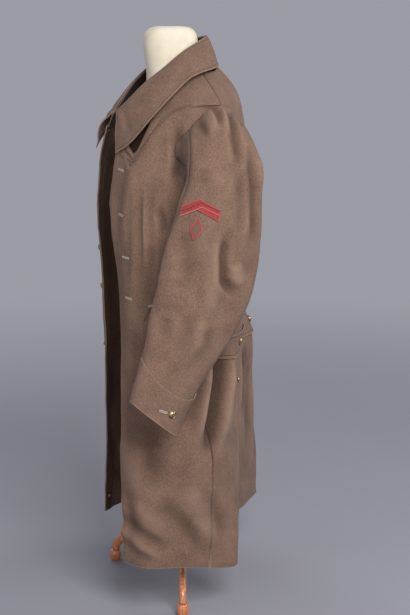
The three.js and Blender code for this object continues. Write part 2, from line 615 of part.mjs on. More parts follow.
const FRONT_BUTTON_Z = [1030, 930, 830, 735];
const FRONT_BUTTON_U = 0.075;
FRONT_BUTTON_Z.forEach((z, i) => {
  button(`front_button_${i + 1}`, bodyPoint('right', FRONT_BUTTON_U, z, 0.5),
    bodyNormal('right', FRONT_BUTTON_U, z), BUTTON_D, BRASS);
});
const BELT_BUTTONS = [{ side: 'left', u: 0.778 }, { side: 'right', u: 0.822 }];
const BELT_BUTTON_Z = BELT_MIDDLE_Z + 6;
BELT_BUTTONS.forEach(({ side, u }, i) => {
  button(`belt_button_${i + 1}`, bodyPoint(side, u, BELT_BUTTON_Z, BELT_GAP + BELT_CLOTH + 0.8),
    bodyNormal(side, u, BELT_BUTTON_Z), BUTTON_D, BRASS);
});
const CUFF_BUTTON = { z: 545, degrees: 66 };
for (const side of ['left', 'right']) {
  const base = sleeveRingPoint(side, CUFF_BUTTON.z, CUFF_BUTTON.degrees, CUFF_OUT);
  const facing = sleeveRingPoint(side, CUFF_BUTTON.z, CUFF_BUTTON.degrees, 12).sub(base).normalize();
  button(`cuff_button_${side}`, base.addScaledVector(facing, 1.6), facing, BUTTON_D, BRASS);
}
button('vent_button', bodyPoint('left', 0.965, 520, 1.2), bodyNormal('left', 0.965, 520),
  SMALL_BUTTON_D, BRASS);
const cornerPlace = bodyPoint('right', 0.05, 176, -CLOTH - SEAM - FACING - 0.7);
button('corner_button', cornerPlace, bodyNormal('right', 0.05, 176).negate(), SMALL_BUTTON_D, BRASS);

// Sleeve badge: a plain chevron and a small lozenge of felt, laid on the left sleeve
const BADGE = { degrees: 129, z: 985, halfSpan: 31, drop: 20, bar: 23, felt: 1.2, lozengeZ: 921 };
const badgePoint = (degrees, z) => sleeveRingPoint('left', z, degrees, 0.6 + BADGE.felt);
wall('badge_chevron', [0, 0.5, 1].map((k) => {
  const row = [];
  for (let j = 0; j <= 12; j += 1) {
    const across = (j / 6) - 1;
    row.push(badgePoint(BADGE.degrees - across * BADGE.halfSpan,
      BADGE.z - Math.abs(across) * BADGE.drop - k * BADGE.bar));
  }
  return row.reverse();
}), BADGE.felt, RED_FELT);
wall('badge_lozenge', [-1, -0.5, 0, 0.5, 1].map((k) => {
  const halfWidth = 1 + 8 * (1 - Math.abs(k));
  return [-1, 0, 1].map((side) => (
    badgePoint(BADGE.degrees - 4 - side * halfWidth, BADGE.lozengeZ - k * 24))).reverse();
}), BADGE.felt, RED_FELT);

// Dress form: torso up to the foot of the neck, then the neck itself
const FORM_COUNT = 28;
const FORM_CLEAR = { shoulder: 3.8, collar: 5 }; // more room beside the collar's stand
const FORM_SECTIONS = [
  { z: 600, a: 128, front: -104, back: 92 },
  { z: 640, a: 150, front: -118, back: 106 },
  { z: 720, a: 146, front: -112, back: 104 },
  { z: 800, a: 132, front: -100, back: 94 },
  { z: 900, a: 142, front: -106, back: 102 },
  { z: 1000, a: 152, front: -110, back: 110 },
  { z: 1060, a: 156, front: -106, back: 114 },
  { z: 1130, a: 160, front: -98, back: 114 },
  { z: 1180, a: 126, front: -88, back: 104 },
  { z: 1208, a: 90, front: -82, back: 92 },
  { z: 1226, a: 70, front: -80, back: 78 },
  { z: 1244, a: 60, front: -80, back: 66 },
  { z: 1262, a: 55, front: -82, back: 58 },
  { z: 1290, a: 52, front: -86, back: 46 },
  { z: 1318, a: 50, front: -89, back: 39 },
  { z: 1334, a: 47, front: -86, back: 36 },
  { z: 1345, a: 40, front: -76, back: 27 },
  { z: 1350, a: 28, front: -62, back: 12 },
];
function formOwnPoint(a, z) {
  const at = (value) => throughRows(FORM_SECTIONS, 'z', value, z);
  const c = Math.cos(a);
  const s = Math.sin(a);
  const centre = (smooth(1226, 1290, z) * (at('front') + at('back'))) / 2;
  const depth = s < 0 ? centre - at('front') : at('back') - centre;
  const round = (v, power) => Math.sign(v) * Math.abs(v) ** power;
  return new THREE.Vector3(at('a') * round(c, 0.9), centre + depth * round(s, 0.9), z);
}
function formUnderCoat(a, z) {
  const half = Math.cos(a) >= 0 ? 1 : -1;
  const fromFront = (Math.atan2(Math.abs(Math.cos(a)), -Math.sin(a))) / Math.PI;
  const u = clamp((fromFront - 0.1) / 0.9, 0, 1);
  const clear = FORM_CLEAR.shoulder + FORM_CLEAR.collar * smooth(0.46, 0.34, u) * smooth(1120, 1170, z);
  const p = bodyPoint('left', u, z, -(CLOTH + clear));
  const closing = clamp(fromFront / 0.1, 0, 1);
  const x = fromFront < 0.1 ? p.x * closing : p.x;
  const y = fromFront < 0.1 ? p.y - 4 * (1 - closing * closing) : p.y;
  const share = smooth(0.2, 0.4, u) * (1 - smooth(0.8, 0.95, u) * 0.15);
  return { point: new THREE.Vector3(half * Math.max(0, x), y, p.z), share };
}
function formRing(z) {
  const ring = [];
  for (let j = 0; j < FORM_COUNT; j += 1) {
    const a = (2 * Math.PI * j) / FORM_COUNT - Math.PI / 2;
    const own = formOwnPoint(a, z);
    const under = formUnderCoat(a, z);
    const seated = smooth(1050, 1150, z) * (1 - smooth(1198, 1222, z)) * under.share;
    own.lerp(under.point, seated);
    ring.push(own);
  }
  return ring;
}
const formLevels = [600, 612, 640, 680, 720, 760, 800, 850, 900, 950, 1000, 1040, 1080, 1115, 1145,
  1165, 1178, 1190, 1202, 1214, 1226];
stack('form_torso', formLevels.map(formRing), CREAM_CLOTH);
const neckLevels = [1226.4, 1244, 1262, 1290, 1318, 1334, 1345, 1350];
stack('form_neck', neckLevels.map(formRing), CREAM_CLOTH);

// Stand: pole, turned hub, and three curved legs on small feet
const FOOT = { reach: 215, radius: 15, height: 28 };
const HUB = { radius: 29, foot: 66, top: 168 };
const POLE = { radius: 12, top: 599.7 };
function turned(name, profile, x, y, finish, sides = 24) {
  const mesh = new THREE.Mesh(
    new THREE.LatheGeometry(profile.map(([r, z]) => new THREE.Vector2(r, z)), sides),
    new THREE.MeshStandardMaterial(finish));
  mesh.name = name;
  mesh.rotation.x = Math.PI / 2;
  mesh.position.set(x, y, 0);
  model.add(mesh);
}
turned('stand_hub', [[0, HUB.foot], [16, HUB.foot], [24, HUB.foot + 12], [HUB.radius, HUB.foot + 26],
  [HUB.radius, HUB.top - 30], [22, HUB.top - 10], [16, HUB.top], [0, HUB.top]], 0, 0, VARNISHED_WOOD);
turned('stand_pole', [[0, HUB.top + SEAM], [POLE.radius, HUB.top + SEAM], [POLE.radius, POLE.top],
  [0, POLE.top]], 0, 0, VARNISHED_WOOD);

const LEG = { width: 18, height: 24 };
const LEG_PATH = [[30.5, 112], [62, 115], [108, 103], [156, 82], [190, 64], [208, 50],
  [FOOT.reach - 0.6, 39], [FOOT.reach, FOOT.height + 1.2]];
const LEG_DIRECTIONS = [-14, 131, 219]; // degrees from +X
LEG_DIRECTIONS.forEach((degrees, i) => {
  const a = THREE.MathUtils.degToRad(degrees);
  const out = new THREE.Vector3(Math.cos(a), Math.sin(a), 0);
  const path = new THREE.CatmullRomCurve3(
    LEG_PATH.map(([r, z]) => out.clone().multiplyScalar(r).setZ(z)));
  const section = new THREE.Shape();
  section.absellipse(0, 0, LEG.height / 2, LEG.width / 2, 0, 2 * Math.PI);
  const leg = new THREE.ExtrudeGeometry(section, { steps: 14, extrudePath: path, curveSegments: 6 });
  const mesh = new THREE.Mesh(leg, new THREE.MeshStandardMaterial(VARNISHED_WOOD));
  mesh.name = `stand_leg_${i + 1}`;
  model.add(mesh);
  turned(`stand_foot_${i + 1}`, [[0, 0], [FOOT.radius - 3, 0], [FOOT.radius, 6],
    [FOOT.radius, FOOT.height - 8], [FOOT.radius - 4, FOOT.height], [0, FOOT.height]],
  out.x * FOOT.reach, out.y * FOOT.reach, VARNISHED_WOOD, 18);
});

// The origin goes to the middle of the footprint, on the floor
const whole = new THREE.Box3().setFromObject(model);
model.position.set(-(whole.min.x + whole.max.x) / 2, -(whole.min.y + whole.max.y) / 2, 0);

export default model;
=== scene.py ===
"""A long wool greatcoat, worn open on a limbless dress form with a three-legged wooden stand.

Metres, +Z up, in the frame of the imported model. The wearer faces -Y and the wearer's left is +X.
"""

import math

import bmesh
import bpy
import numpy as np
from mathutils import Matrix, Vector
from mathutils.kdtree import KDTree


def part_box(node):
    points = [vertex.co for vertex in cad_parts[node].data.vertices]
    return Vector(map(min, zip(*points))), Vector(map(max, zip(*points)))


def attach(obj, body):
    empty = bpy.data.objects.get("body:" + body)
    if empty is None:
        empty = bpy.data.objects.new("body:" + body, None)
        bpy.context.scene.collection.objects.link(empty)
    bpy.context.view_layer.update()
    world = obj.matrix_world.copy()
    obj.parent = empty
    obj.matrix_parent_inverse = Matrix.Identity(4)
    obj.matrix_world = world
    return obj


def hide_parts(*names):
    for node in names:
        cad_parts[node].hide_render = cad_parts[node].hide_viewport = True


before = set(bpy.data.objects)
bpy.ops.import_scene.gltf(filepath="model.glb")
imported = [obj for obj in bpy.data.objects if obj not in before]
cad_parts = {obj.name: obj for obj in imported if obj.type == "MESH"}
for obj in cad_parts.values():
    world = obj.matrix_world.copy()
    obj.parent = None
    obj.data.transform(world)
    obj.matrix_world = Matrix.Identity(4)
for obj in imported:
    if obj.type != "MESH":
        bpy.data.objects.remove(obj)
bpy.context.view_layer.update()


# The camera stands at the coat's left side, a little towards the front, and looks down on it
# through an 85 mm lens. The stand's pole is the line that everything is measured from.
pole_low, pole_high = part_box("stand_pole")
POLE = Vector(((pole_low[0] + pole_high[0]) / 2, (pole_low[1] + pole_high[1]) / 2, 0))
VIEW_DISTANCE = 3.39
VIEW_SIDEWAYS = 0.0557
VIEW_HEIGHT = 1.423
VIEW_TURN = math.radians(15)
VIEW_DOWN = math.radians(12.2)

towards = Vector((math.cos(VIEW_TURN), -math.sin(VIEW_TURN), 0))
sideways = Vector((math.sin(VIEW_TURN), math.cos(VIEW_TURN), 0))
camera = bpy.data.objects.new("camera", bpy.data.cameras.new("camera"))
bpy.context.scene.collection.objects.link(camera)
camera.location = POLE + towards * VIEW_DISTANCE + sideways * VIEW_SIDEWAYS + Vector((0, 0, VIEW_HEIGHT))
gaze = -towards * math.cos(VIEW_DOWN) - Vector((0, 0, math.sin(VIEW_DOWN)))
camera.rotation_euler = gaze.to_track_quat("-Z", "Y").to_euler()
camera.data.lens = 85
camera.data.sensor_width = 36
bpy.context.scene.camera = camera


# Milled wool: brown fibres felted together, with reddish and greenish flecks and a soft nap.
# Seams and topstitching are grooves darkened with painted shade, finished edges are worn pale, and
# the folds' troughs are darkened with painted shade and their rolls lightened with a painted highlight.
WOOL_LIGHT = (0.262, 0.162, 0.116, 1)
WOOL_DARK = (0.074, 0.043, 0.029, 1)
WOOL_RED = (0.235, 0.115, 0.070, 1)
WOOL_GREEN = (0.120, 0.112, 0.062, 1)
FLECK_SIZE = 0.0030
NAP_SIZE = 0.0012
CLOUD_SIZE = 0.055
PALE_EDGE = (0.36, 0.27, 0.20, 1)
ROLL_HIGHLIGHT = (0.36, 0.24, 0.18, 1)
SEAM_SHADOW = (0.045, 0.028, 0.020, 1)
STITCH_SHADOW = (0.050, 0.034, 0.025, 1)
TROUGH_SHADOW = (0.030, 0.018, 0.012, 1)
WORN_WIDTH = 0.0028
STITCH_WIDTH = 0.0016


def add_node(tree, kind, **settings):
    """A node with its settings and its unlinked inputs filled in."""
    node = tree.nodes.new(kind)
    for key, value in settings.items():
        if key == "inputs":
            for name, number in value.items():
                node.inputs[name].default_value = number
        else:
            setattr(node, key, value)
    return node


def math_node(tree, operation, a, b=None, clamp=False):
    """A Math node on sockets or numbers, giving its output."""
    node = add_node(tree, "ShaderNodeMath", operation=operation, use_clamp=clamp)
    for i, value in enumerate((a, b)):
        if value is None:
            continue
        if isinstance(value, (int, float)):
            node.inputs[i].default_value = value
        else:
            tree.links.new(value, node.inputs[i])
    return node.outputs[0]


def mix_colours(tree, mask, low, high):
    """Colour low where the mask is 0 and colour high where it is 1."""
    node = add_node(tree, "ShaderNodeMix", data_type="RGBA")
    tree.links.new(mask, node.inputs["Factor"])
    for name, value in (("A", low), ("B", high)):
        socket = [s for s in node.inputs if s.name == name and s.type == "RGBA"][0]
        if isinstance(value, tuple):
            socket.default_value = value
        else:
            tree.links.new(value, socket)
    return [s for s in node.outputs if s.type == "RGBA"][0]


def noise_mask(tree, place, size, detail, low, high, stretch=(1, 1, 1)):
    """Noise of that grain in metres, spread so that it runs from 0 at low to 1 at high."""
    scale = add_node(tree, "ShaderNodeVectorMath", operation="MULTIPLY")
    tree.links.new(place, scale.inputs[0])
    scale.inputs[1].default_value = stretch
    noise = add_node(tree, "ShaderNodeTexNoise",
                     inputs={"Scale": 1 / size, "Detail": detail, "Roughness": 0.6})
    tree.links.new(scale.outputs[0], noise.inputs["Vector"])
    spread = add_node(tree, "ShaderNodeMapRange",
                      inputs={"From Min": low, "From Max": high})
    tree.links.new(noise.outputs["Fac"], spread.inputs["Value"])
    return spread.outputs[0]


def make_fleck_group():
    """Node group of the wool's fibres: a colour and the height of the nap."""
    group = bpy.data.node_groups.new("wool_fibres", "ShaderNodeTree")
    group.interface.new_socket("Place", in_out="INPUT", socket_type="NodeSocketVector")
    group.interface.new_socket("Colour", in_out="OUTPUT", socket_type="NodeSocketColor")
    group.interface.new_socket("Height", in_out="OUTPUT", socket_type="NodeSocketFloat")
    put = group.nodes.new("NodeGroupInput").outputs["Place"]
    out = group.nodes.new("NodeGroupOutput")
    fleck = noise_mask(group, put, FLECK_SIZE, 3, 0.33, 0.67)
    nap = noise_mask(group, put, NAP_SIZE, 2, 0.3, 0.7, (1, 1, 0.6))
    cloud = noise_mask(group, put, CLOUD_SIZE, 2, 0.3, 0.7)
    red = noise_mask(group, put, FLECK_SIZE * 1.7, 2, 0.55, 0.78)
    green = noise_mask(group, put, FLECK_SIZE * 2.1, 2, 0.56, 0.8, (1, 1, 1.4))
    blend = math_node(group, "ADD", math_node(group, "MULTIPLY", fleck, 0.42),
                      math_node(group, "MULTIPLY", nap, 0.33))
    blend = math_node(group, "ADD", blend, math_node(group, "MULTIPLY", cloud, 0.25), clamp=True)
    colour = mix_colours(group, blend, WOOL_DARK, WOOL_LIGHT)
    colour = mix_colours(group, math_node(group, "MULTIPLY", red, 0.42), colour, WOOL_RED)
    colour = mix_colours(group, math_node(group, "MULTIPLY", green, 0.35), colour, WOOL_GREEN)
    group.links.new(colour, out.inputs["Colour"])
    height = math_node(group, "ADD", math_node(group, "MULTIPLY", nap, 0.6),
                       math_node(group, "MULTIPLY", fleck, 0.4))
    group.links.new(height, out.inputs["Height"])
    return group


FIBRES = make_fleck_group()


def make_wool(name, tint=(1, 1, 1, 1), stitch_at=None):
    """Wool in a tint. stitch_at is how far from a finished edge its topstitching runs."""
    wool = bpy.data.materials.new(name)
    wool.use_nodes = True
    tree = wool.node_tree
    shader = tree.nodes["Principled BSDF"]
    place = tree.nodes.new("ShaderNodeTexCoord").outputs["Object"]
    fibres = add_node(tree, "ShaderNodeGroup", node_tree=FIBRES)
    tree.links.new(place, fibres.inputs["Place"])
    toned = add_node(tree, "ShaderNodeMix", data_type="RGBA", blend_type="MULTIPLY")
    toned.inputs["Factor"].default_value = 1
    slots = [s for s in toned.inputs if s.type == "RGBA"]
    tree.links.new(fibres.outputs["Colour"], slots[0])
    slots[1].default_value = tint
    colour = [s for s in toned.outputs if s.type == "RGBA"][0]
    height = math_node(tree, "MULTIPLY", fibres.outputs["Height"], 0.5)
    edge = add_node(tree, "ShaderNodeAttribute", attribute_name="edge").outputs["Fac"]
    worn = math_node(tree, "SUBTRACT", 1, math_node(tree, "DIVIDE", edge, WORN_WIDTH), clamp=True)
    colour = mix_colours(tree, math_node(tree, "MULTIPLY", worn, 0.42), colour, PALE_EDGE)
    seam = add_node(tree, "ShaderNodeAttribute", attribute_name="seam").outputs["Fac"]
    height = math_node(tree, "SUBTRACT", height, math_node(tree, "MULTIPLY", seam, 1.2))
    colour = mix_colours(tree, math_node(tree, "MULTIPLY", seam, 0.42), colour, SEAM_SHADOW)
    # Painted shade in the folds' troughs and a painted highlight on their rolls, by how deep each fold
    # sinks.
    trough = add_node(tree, "ShaderNodeAttribute", attribute_name="trough").outputs["Fac"]
    sunk = math_node(tree, "MULTIPLY", trough, 0.5, clamp=True)
    raised = math_node(tree, "MULTIPLY", trough, -0.35, clamp=True)
    colour = mix_colours(tree, sunk, colour, TROUGH_SHADOW)
    colour = mix_colours(tree, raised, colour, ROLL_HIGHLIGHT)
    if stitch_at:
        off = math_node(tree, "ABSOLUTE", math_node(tree, "SUBTRACT", edge, stitch_at))
        groove = math_node(tree, "SUBTRACT", 1, math_node(tree, "DIVIDE", off, STITCH_WIDTH), clamp=True)
        colour = mix_colours(tree, math_node(tree, "MULTIPLY", groove, 0.45), colour, STITCH_SHADOW)
        height = math_node(tree, "SUBTRACT", height, math_node(tree, "MULTIPLY", groove, 1.4))
    tree.links.new(colour, shader.inputs["Base Color"])
    bump = add_node(tree, "ShaderNodeBump", inputs={"Strength": 0.7, "Distance": 0.0011})
    tree.links.new(height, bump.inputs["Height"])
    tree.links.new(bump.outputs["Normal"], shader.inputs["Normal"])
    shader.inputs["Roughness"].default_value = 0.93
    shader.inputs["Specular IOR Level"].default_value = 0.1
    shader.inputs["Sheen Weight"].default_value = 0.06
    shader.inputs["Sheen Roughness"].default_value = 0.5
    return wool


WOOL = make_wool("wool")
WOOL_STITCHED = make_wool("wool_stitched", stitch_at=0.0065)
# The facings' darker tint is painted shade inside the front edges.
WOOL_INSIDE_SHADED = make_wool("wool_inside", tint=(0.50, 0.38, 0.32, 1))
# A near-black tint, painted shade for the collar stand under the fall.
WOOL_SHADED = make_wool("wool_shaded", tint=(0.09, 0.07, 0.06, 1))


def weld_copy(node, name, levels, crease=1.0, sharp=50):
    """A copy of a CAD wall with its points joined, in quads, rims kept crisp, then subdivided."""
    cloth = bpy.data.objects.new(name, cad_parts[node].data.copy())
    bpy.context.scene.collection.objects.link(cloth)
    bpy.ops.object.select_all(action="DESELECT")
    cloth.select_set(True)
    bpy.context.view_layer.objects.active = cloth
    bpy.ops.object.mode_set(mode="EDIT")
    bpy.ops.mesh.select_all(action="SELECT")
    bpy.ops.mesh.remove_doubles(threshold=0.00002)
    bpy.ops.mesh.tris_convert_to_quads(face_threshold=math.radians(70), shape_threshold=math.radians(70))
    bpy.ops.mesh.select_all(action="DESELECT")
    bpy.ops.mesh.edges_select_sharp(sharpness=math.radians(sharp))
    bpy.ops.transform.edge_crease(value=crease)
    bpy.ops.object.mode_set(mode="OBJECT")
    finer = cloth.modifiers.new("finer", "SUBSURF")
    finer.levels = levels
    finer.render_levels = levels
    bpy.ops.object.modifier_apply(modifier="finer")
    bpy.ops.object.shade_smooth_by_angle(angle=math.radians(40))
    return cloth


def points_of(cloth):
    """The mesh's points as rows, measured from the pole."""
    flat = np.empty(len(cloth.data.vertices) * 3, dtype=np.float64)
    cloth.data.vertices.foreach_get("co", flat)
    return flat.reshape(-1, 3) - np.array(POLE)


def move_points(cloth, places):
    """Puts the mesh's points at these places, measured from the pole."""
    cloth.data.vertices.foreach_set("co", (places + np.array(POLE)).ravel())
    cloth.data.update()


def ease(low, high, value):
    """0 at low, 1 at high and smooth between."""
    k = np.clip((value - low) / (high - low), 0, 1)
    return k * k * (3 - 2 * k)


def crease(flat_points, path, width, depth, near=0.25, far=0.35):
    """How far a listed fold sinks (depth below 0) or rises at points seen flat, in metres.

    path is the fold's line and width its half width. near and far are the parts of its length
    over which its two ends fade. A low roll of pushed cloth lies along each side of it.
    """
    line = np.array(path, dtype=np.float64)
    steps = np.linalg.norm(np.diff(line, axis=0), axis=1)
    total = steps.sum()
    best = np.full(len(flat_points), 1e9)
    along = np.zeros(len(flat_points))
    start = 0.0
    for a, b, step in zip(line[:-1], line[1:], steps):
        k = np.clip(((flat_points - a) @ (b - a)) / step ** 2, 0, 1)
        away = np.linalg.norm(flat_points - (a + k[:, None] * (b - a)), axis=1)
        closer = away < best
        best = np.where(closer, away, best)
        along = np.where(closer, (start + k * step) / total, along)
        start += step
    fade = ease(0, near, along + 1e-6)
    if far > 0:
        fade = fade * ease(1, 1 - far, along)
    reach = best / width
    trough = np.exp(-reach ** 2)
    roll = 0.3 * np.exp(-((reach - 1.9) / 0.7) ** 2)
    return depth * fade * (trough - roll)


DARKEST_FOLD = 0.010


def mark_folds(cloth, sink):
    """Stores how deep the listed folds sink, 1 at the darkest, for the wool's shading."""
    trough = cloth.data.attributes.new("trough", "FLOAT", "POINT")
    trough.data.foreach_set("value", np.clip(-sink / DARKEST_FOLD, -1, 1))


def slow_waves(places, size, seed):
    """Uneven, broad waves between -1 and 1, the same each run."""
    total = np.zeros(len(places))
    for i in range(5):
        a = seed * 1.7 + i * 2.3
        direction = np.array([math.sin(a), math.cos(a * 1.3), 0.55 * math.sin(a * 2.1 + 1)])
        total += np.sin(places @ direction * (2 * math.pi / (size * (0.7 + 0.23 * i))) + a * 3)
    return total / 3.2


SEAM_SHADE = 0.0026
RIM_ANGLE = math.radians(68)
FAR_FROM_RIMS = 0.05


def rim_points(cloth):
    """Points along the wall's rims, measured from the pole, four to each edge."""
    shape = bmesh.new()
    shape.from_mesh(cloth.data)
    found = []
    for e in shape.edges:
        if e.is_manifold and e.calc_face_angle() > RIM_ANGLE:
            a, b = (v.co - POLE for v in e.verts)
            found += [a.lerp(b, k / 4) for k in range(4)]
    shape.free()
    return found


def measure_rims(cloth, finished=None):
    """Each point's distance to any rim. Finished edges go into edge and sewn rims into seam.

    finished takes a rim point, measured from the pole, and says whether its edge is finished.
    """
    places = points_of(cloth)
    rims = rim_points(cloth)
    kept = [p for p in rims if finished and finished(p)]
    out = []
    for group in (rims, kept):
        distances = np.full(len(places), FAR_FROM_RIMS)
        if group:
            tree = KDTree(len(group))
            for i, p in enumerate(group):
                tree.insert(p, i)
            tree.balance()
            distances = np.array([min(FAR_FROM_RIMS, tree.find(Vector(p))[2]) for p in places])
        out.append(distances)
    edge = cloth.data.attributes.new("edge", "FLOAT", "POINT")
    edge.data.foreach_set("value", out[1])
    sewn = np.clip(1 - out[0] / SEAM_SHADE, 0, 1) * (out[1] > SEAM_SHADE * 2)
    seam = cloth.data.attributes.new("seam", "FLOAT", "POINT")
    seam.data.foreach_set("value", sewn)
    return out[0]


def finish_cloth(cloth, node, material):
    """Material, body, and what the cloth was cut from."""
    cloth.data.materials.clear()
    cloth.data.materials.append(material)
    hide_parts(node)
    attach(cloth, "root")


# The coat's body: two fronts and two backs hang from the shoulders. The skirt's soft folds are
# troughs and rolls laid where the cloth shows them, seen flat from a side, from the front
# or from behind. What lies on a panel takes the same folds.
LEFT_SIDE_FOLDS = [
    # path (y, z) from the side, half width, depth
    ([(-0.096, 0.960), (-0.084, 0.925), (-0.078, 0.890)], 0.007, -0.0075),
    ([(-0.046, 1.140), (-0.048, 1.080), (-0.056, 0.990)], 0.010, -0.0100),
    ([(-0.130, 1.040), (-0.134, 0.905), (-0.137, 0.760)], 0.0060, -0.0024),
    ([(-0.118, 1.000), (-0.122, 0.900), (-0.125, 0.780)], 0.0060, 0.0022),
    ([(-0.106, 1.030), (-0.110, 0.906), (-0.113, 0.745)], 0.0065, -0.0026),
    ([(-0.156, 0.960), (-0.158, 0.850), (-0.159, 0.740)], 0.0050, -0.0022),
    ([(-0.150, 0.700), (-0.152, 0.560), (-0.148, 0.420)], 0.0080, -0.0030),
    ([(-0.168, 0.640), (-0.170, 0.480), (-0.166, 0.330)], 0.0070, 0.0028),
    ([(-0.150, 0.985), (-0.142, 0.860), (-0.150, 0.740)], 0.017, -0.0030),
    ([(-0.118, 0.880), (-0.122, 0.790), (-0.133, 0.700)], 0.014, -0.0035),
    ([(-0.136, 0.500), (-0.124, 0.380), (-0.106, 0.285)], 0.022, -0.0060),
    ([(-0.172, 0.430), (-0.164, 0.330), (-0.154, 0.270)], 0.020, 0.0055),
    ([(-0.112, 0.305), (-0.075, 0.250), (-0.042, 0.208), (0.004, 0.138)], 0.015, -0.0060),
    ([(-0.206, 0.244), (-0.148, 0.207), (-0.078, 0.168)], 0.013, -0.0060),
    ([(-0.200, 0.222), (-0.150, 0.184), (-0.100, 0.156)], 0.013, 0.0055),
    ([(-0.176, 0.285), (-0.130, 0.246), (-0.086, 0.215)], 0.014, 0.0050),
    ([(-0.050, 0.330), (-0.014, 0.240), (0.030, 0.165)], 0.018, 0.0055),
    ([(0.018, 0.310), (0.030, 0.230), (0.050, 0.160)], 0.012, -0.0035),
    ([(0.082, 0.590), (0.068, 0.480), (0.050, 0.400)], 0.014, 0.0080),
    ([(0.058, 0.632), (0.040, 0.550), (0.020, 0.450), (0.004, 0.370)], 0.0150, -0.0290),
    ([(0.012, 0.600), (0.004, 0.520), (-0.016, 0.430)], 0.013, 0.0060),
    ([(-0.012, 0.600), (-0.018, 0.520), (-0.030, 0.430)], 0.015, -0.0050),
    ([(-0.046, 0.560), (-0.053, 0.450)], 0.012, -0.0055),
]
RIGHT_SIDE_FOLDS = [
    ([(-0.090, 0.940), (-0.070, 0.880)], 0.009, -0.0030),
    ([(-0.155, 0.960), (-0.148, 0.830), (-0.152, 0.720)], 0.016, -0.0035),
    ([(-0.120, 0.500), (-0.104, 0.400), (-0.098, 0.300)], 0.024, -0.0070),
    ([(-0.095, 0.330), (-0.050, 0.250), (-0.010, 0.160)], 0.020, -0.0050),
    ([(-0.150, 0.240), (-0.110, 0.190), (-0.060, 0.150)], 0.015, -0.0045),
    ([(0.020, 0.560), (0.040, 0.420), (0.060, 0.300)], 0.020, -0.0070),
    ([(0.080, 0.540), (0.110, 0.400), (0.130, 0.250)], 0.018, 0.0040),
    ([(0.120, 0.420), (0.150, 0.300), (0.180, 0.180)], 0.022, -0.0050),
]
BACK_FOLDS = [
    # path (x, z) from behind, half width, depth
    ([(0.120, 1.120), (0.096, 1.020), (0.090, 0.900)], 0.016, -0.0040),
    ([(0.060, 1.180), (0.052, 1.080), (0.058, 0.960)], 0.020, -0.0025),
    ([(-0.124, 1.110), (-0.100, 1.000), (-0.092, 0.890)], 0.016, -0.0038),
    ([(-0.050, 1.160), (-0.044, 1.060), (-0.052, 0.930)], 0.018, -0.0025),
    ([(0.100, 0.760), (0.080, 0.710), (0.072, 0.662)], 0.011, -0.0040),
    ([(0.040, 0.790), (0.044, 0.720), (0.040, 0.662)], 0.010, -0.0032),
    ([(-0.064, 0.780), (-0.060, 0.720), (-0.066, 0.662)], 0.010, -0.0036),
    ([(-0.110, 0.740), (-0.100, 0.700), (-0.098, 0.662)], 0.010, -0.0030),
    ([(0.080, 0.594), (0.088, 0.480), (0.104, 0.330)], 0.014, -0.0060),
    ([(-0.060, 0.594), (-0.070, 0.460), (-0.090, 0.280)], 0.016, -0.0070),
    ([(-0.110, 0.594), (-0.130, 0.440), (-0.160, 0.240)], 0.018, -0.0060),
    ([(-0.086, 0.500), (-0.104, 0.360), (-0.124, 0.190)], 0.016, 0.0040),
    ([(-0.040, 0.590), (-0.042, 0.516), (-0.048, 0.390)], 0.010, -0.0120),
    ([(-0.020, 0.560), (-0.024, 0.450), (-0.030, 0.330)], 0.010, 0.0050),
]
FRONT_FOLDS = [
    # path (x, z) from the front, half width, depth
    ([(0.104, 1.060), (0.092, 0.960), (0.094, 0.850)], 0.014, -0.0035),
    ([(0.070, 1.000), (0.078, 0.900), (0.086, 0.800)], 0.016, 0.0020),
    ([(0.130, 0.600), (0.148, 0.470), (0.160, 0.350)], 0.020, -0.0050),
    ([(0.170, 0.300), (0.186, 0.220), (0.196, 0.150)], 0.016, -0.0040),
    ([(-0.100, 1.060), (-0.094, 0.950), (-0.100, 0.840)], 0.014, -0.0035),
    ([(-0.136, 0.620), (-0.150, 0.480), (-0.160, 0.360)], 0.020, -0.0050),
    ([(-0.160, 0.330), (-0.176, 0.230), (-0.190, 0.150)], 0.018, -0.0045),
]


def body_drape(places, cloth=None):
    """The body's places with the listed folds and its slow, uneven waves. The folds go on cloth."""
    x, y, z = places.T
    out = np.column_stack((x / 0.20 ** 2, (y + 0.02) / 0.155 ** 2, np.zeros(len(x))))
    out /= np.linalg.norm(out, axis=1)[:, None] + 1e-9
    side_view = np.column_stack((y, z))
    front_view = np.column_stack((x, z))
    sink = np.zeros(len(x))
    for folds, share, flat in (
        (LEFT_SIDE_FOLDS, ease(0.15, 0.55, out[:, 0]), side_view),
        (RIGHT_SIDE_FOLDS, ease(0.15, 0.55, -out[:, 0]), side_view),
        (BACK_FOLDS, ease(0.25, 0.65, out[:, 1]), front_view),
        (FRONT_FOLDS, ease(0.25, 0.65, -out[:, 1]), front_view),
    ):
        for path, width, depth in folds:
            sink += share * crease(flat, path, width, depth)
    if cloth:
        mark_folds(cloth, sink)
    loose = ease(1.16, 1.02, z) * 0.7 + 0.3
    sink += loose * (0.0011 * slow_waves(places, 0.115, 1) + 0.0006 * slow_waves(places, 0.041, 2))
    return places + out * sink[:, None]


def seam_press(places, rims, out_of):
    """Sinks the cloth beside every rim and lifts the turned cloth next to it, as at a pressed seam."""
    middle = out_of(places)
    press = 0.0011 * np.exp(-(rims / 0.004) ** 2) - 0.0009 * np.exp(-((rims - 0.010) / 0.005) ** 2)
    return places - middle * press[:, None]


def relax(cloth, places, rims, low, turns):
    """Rounds the cloth over the shoulders, above the height low, and leaves its rims in place."""
    ends = np.empty(len(cloth.data.edges) * 2, dtype=np.int64)
    cloth.data.edges.foreach_get("vertices", ends)
    first, second = ends.reshape(-1, 2).T
    count = np.bincount(ends, minlength=len(places))[:, None]
    share = (0.6 * ease(0.002, 0.012, rims) * ease(low, low + 0.05, places[:, 2]))[:, None]
    places = places.copy()
    for _ in range(turns):
        total = np.column_stack([
            np.bincount(first, at[second], len(at)) + np.bincount(second, at[first], len(at))
            for at in places.T
        ])
        places += share * (total / count - places)
    return places


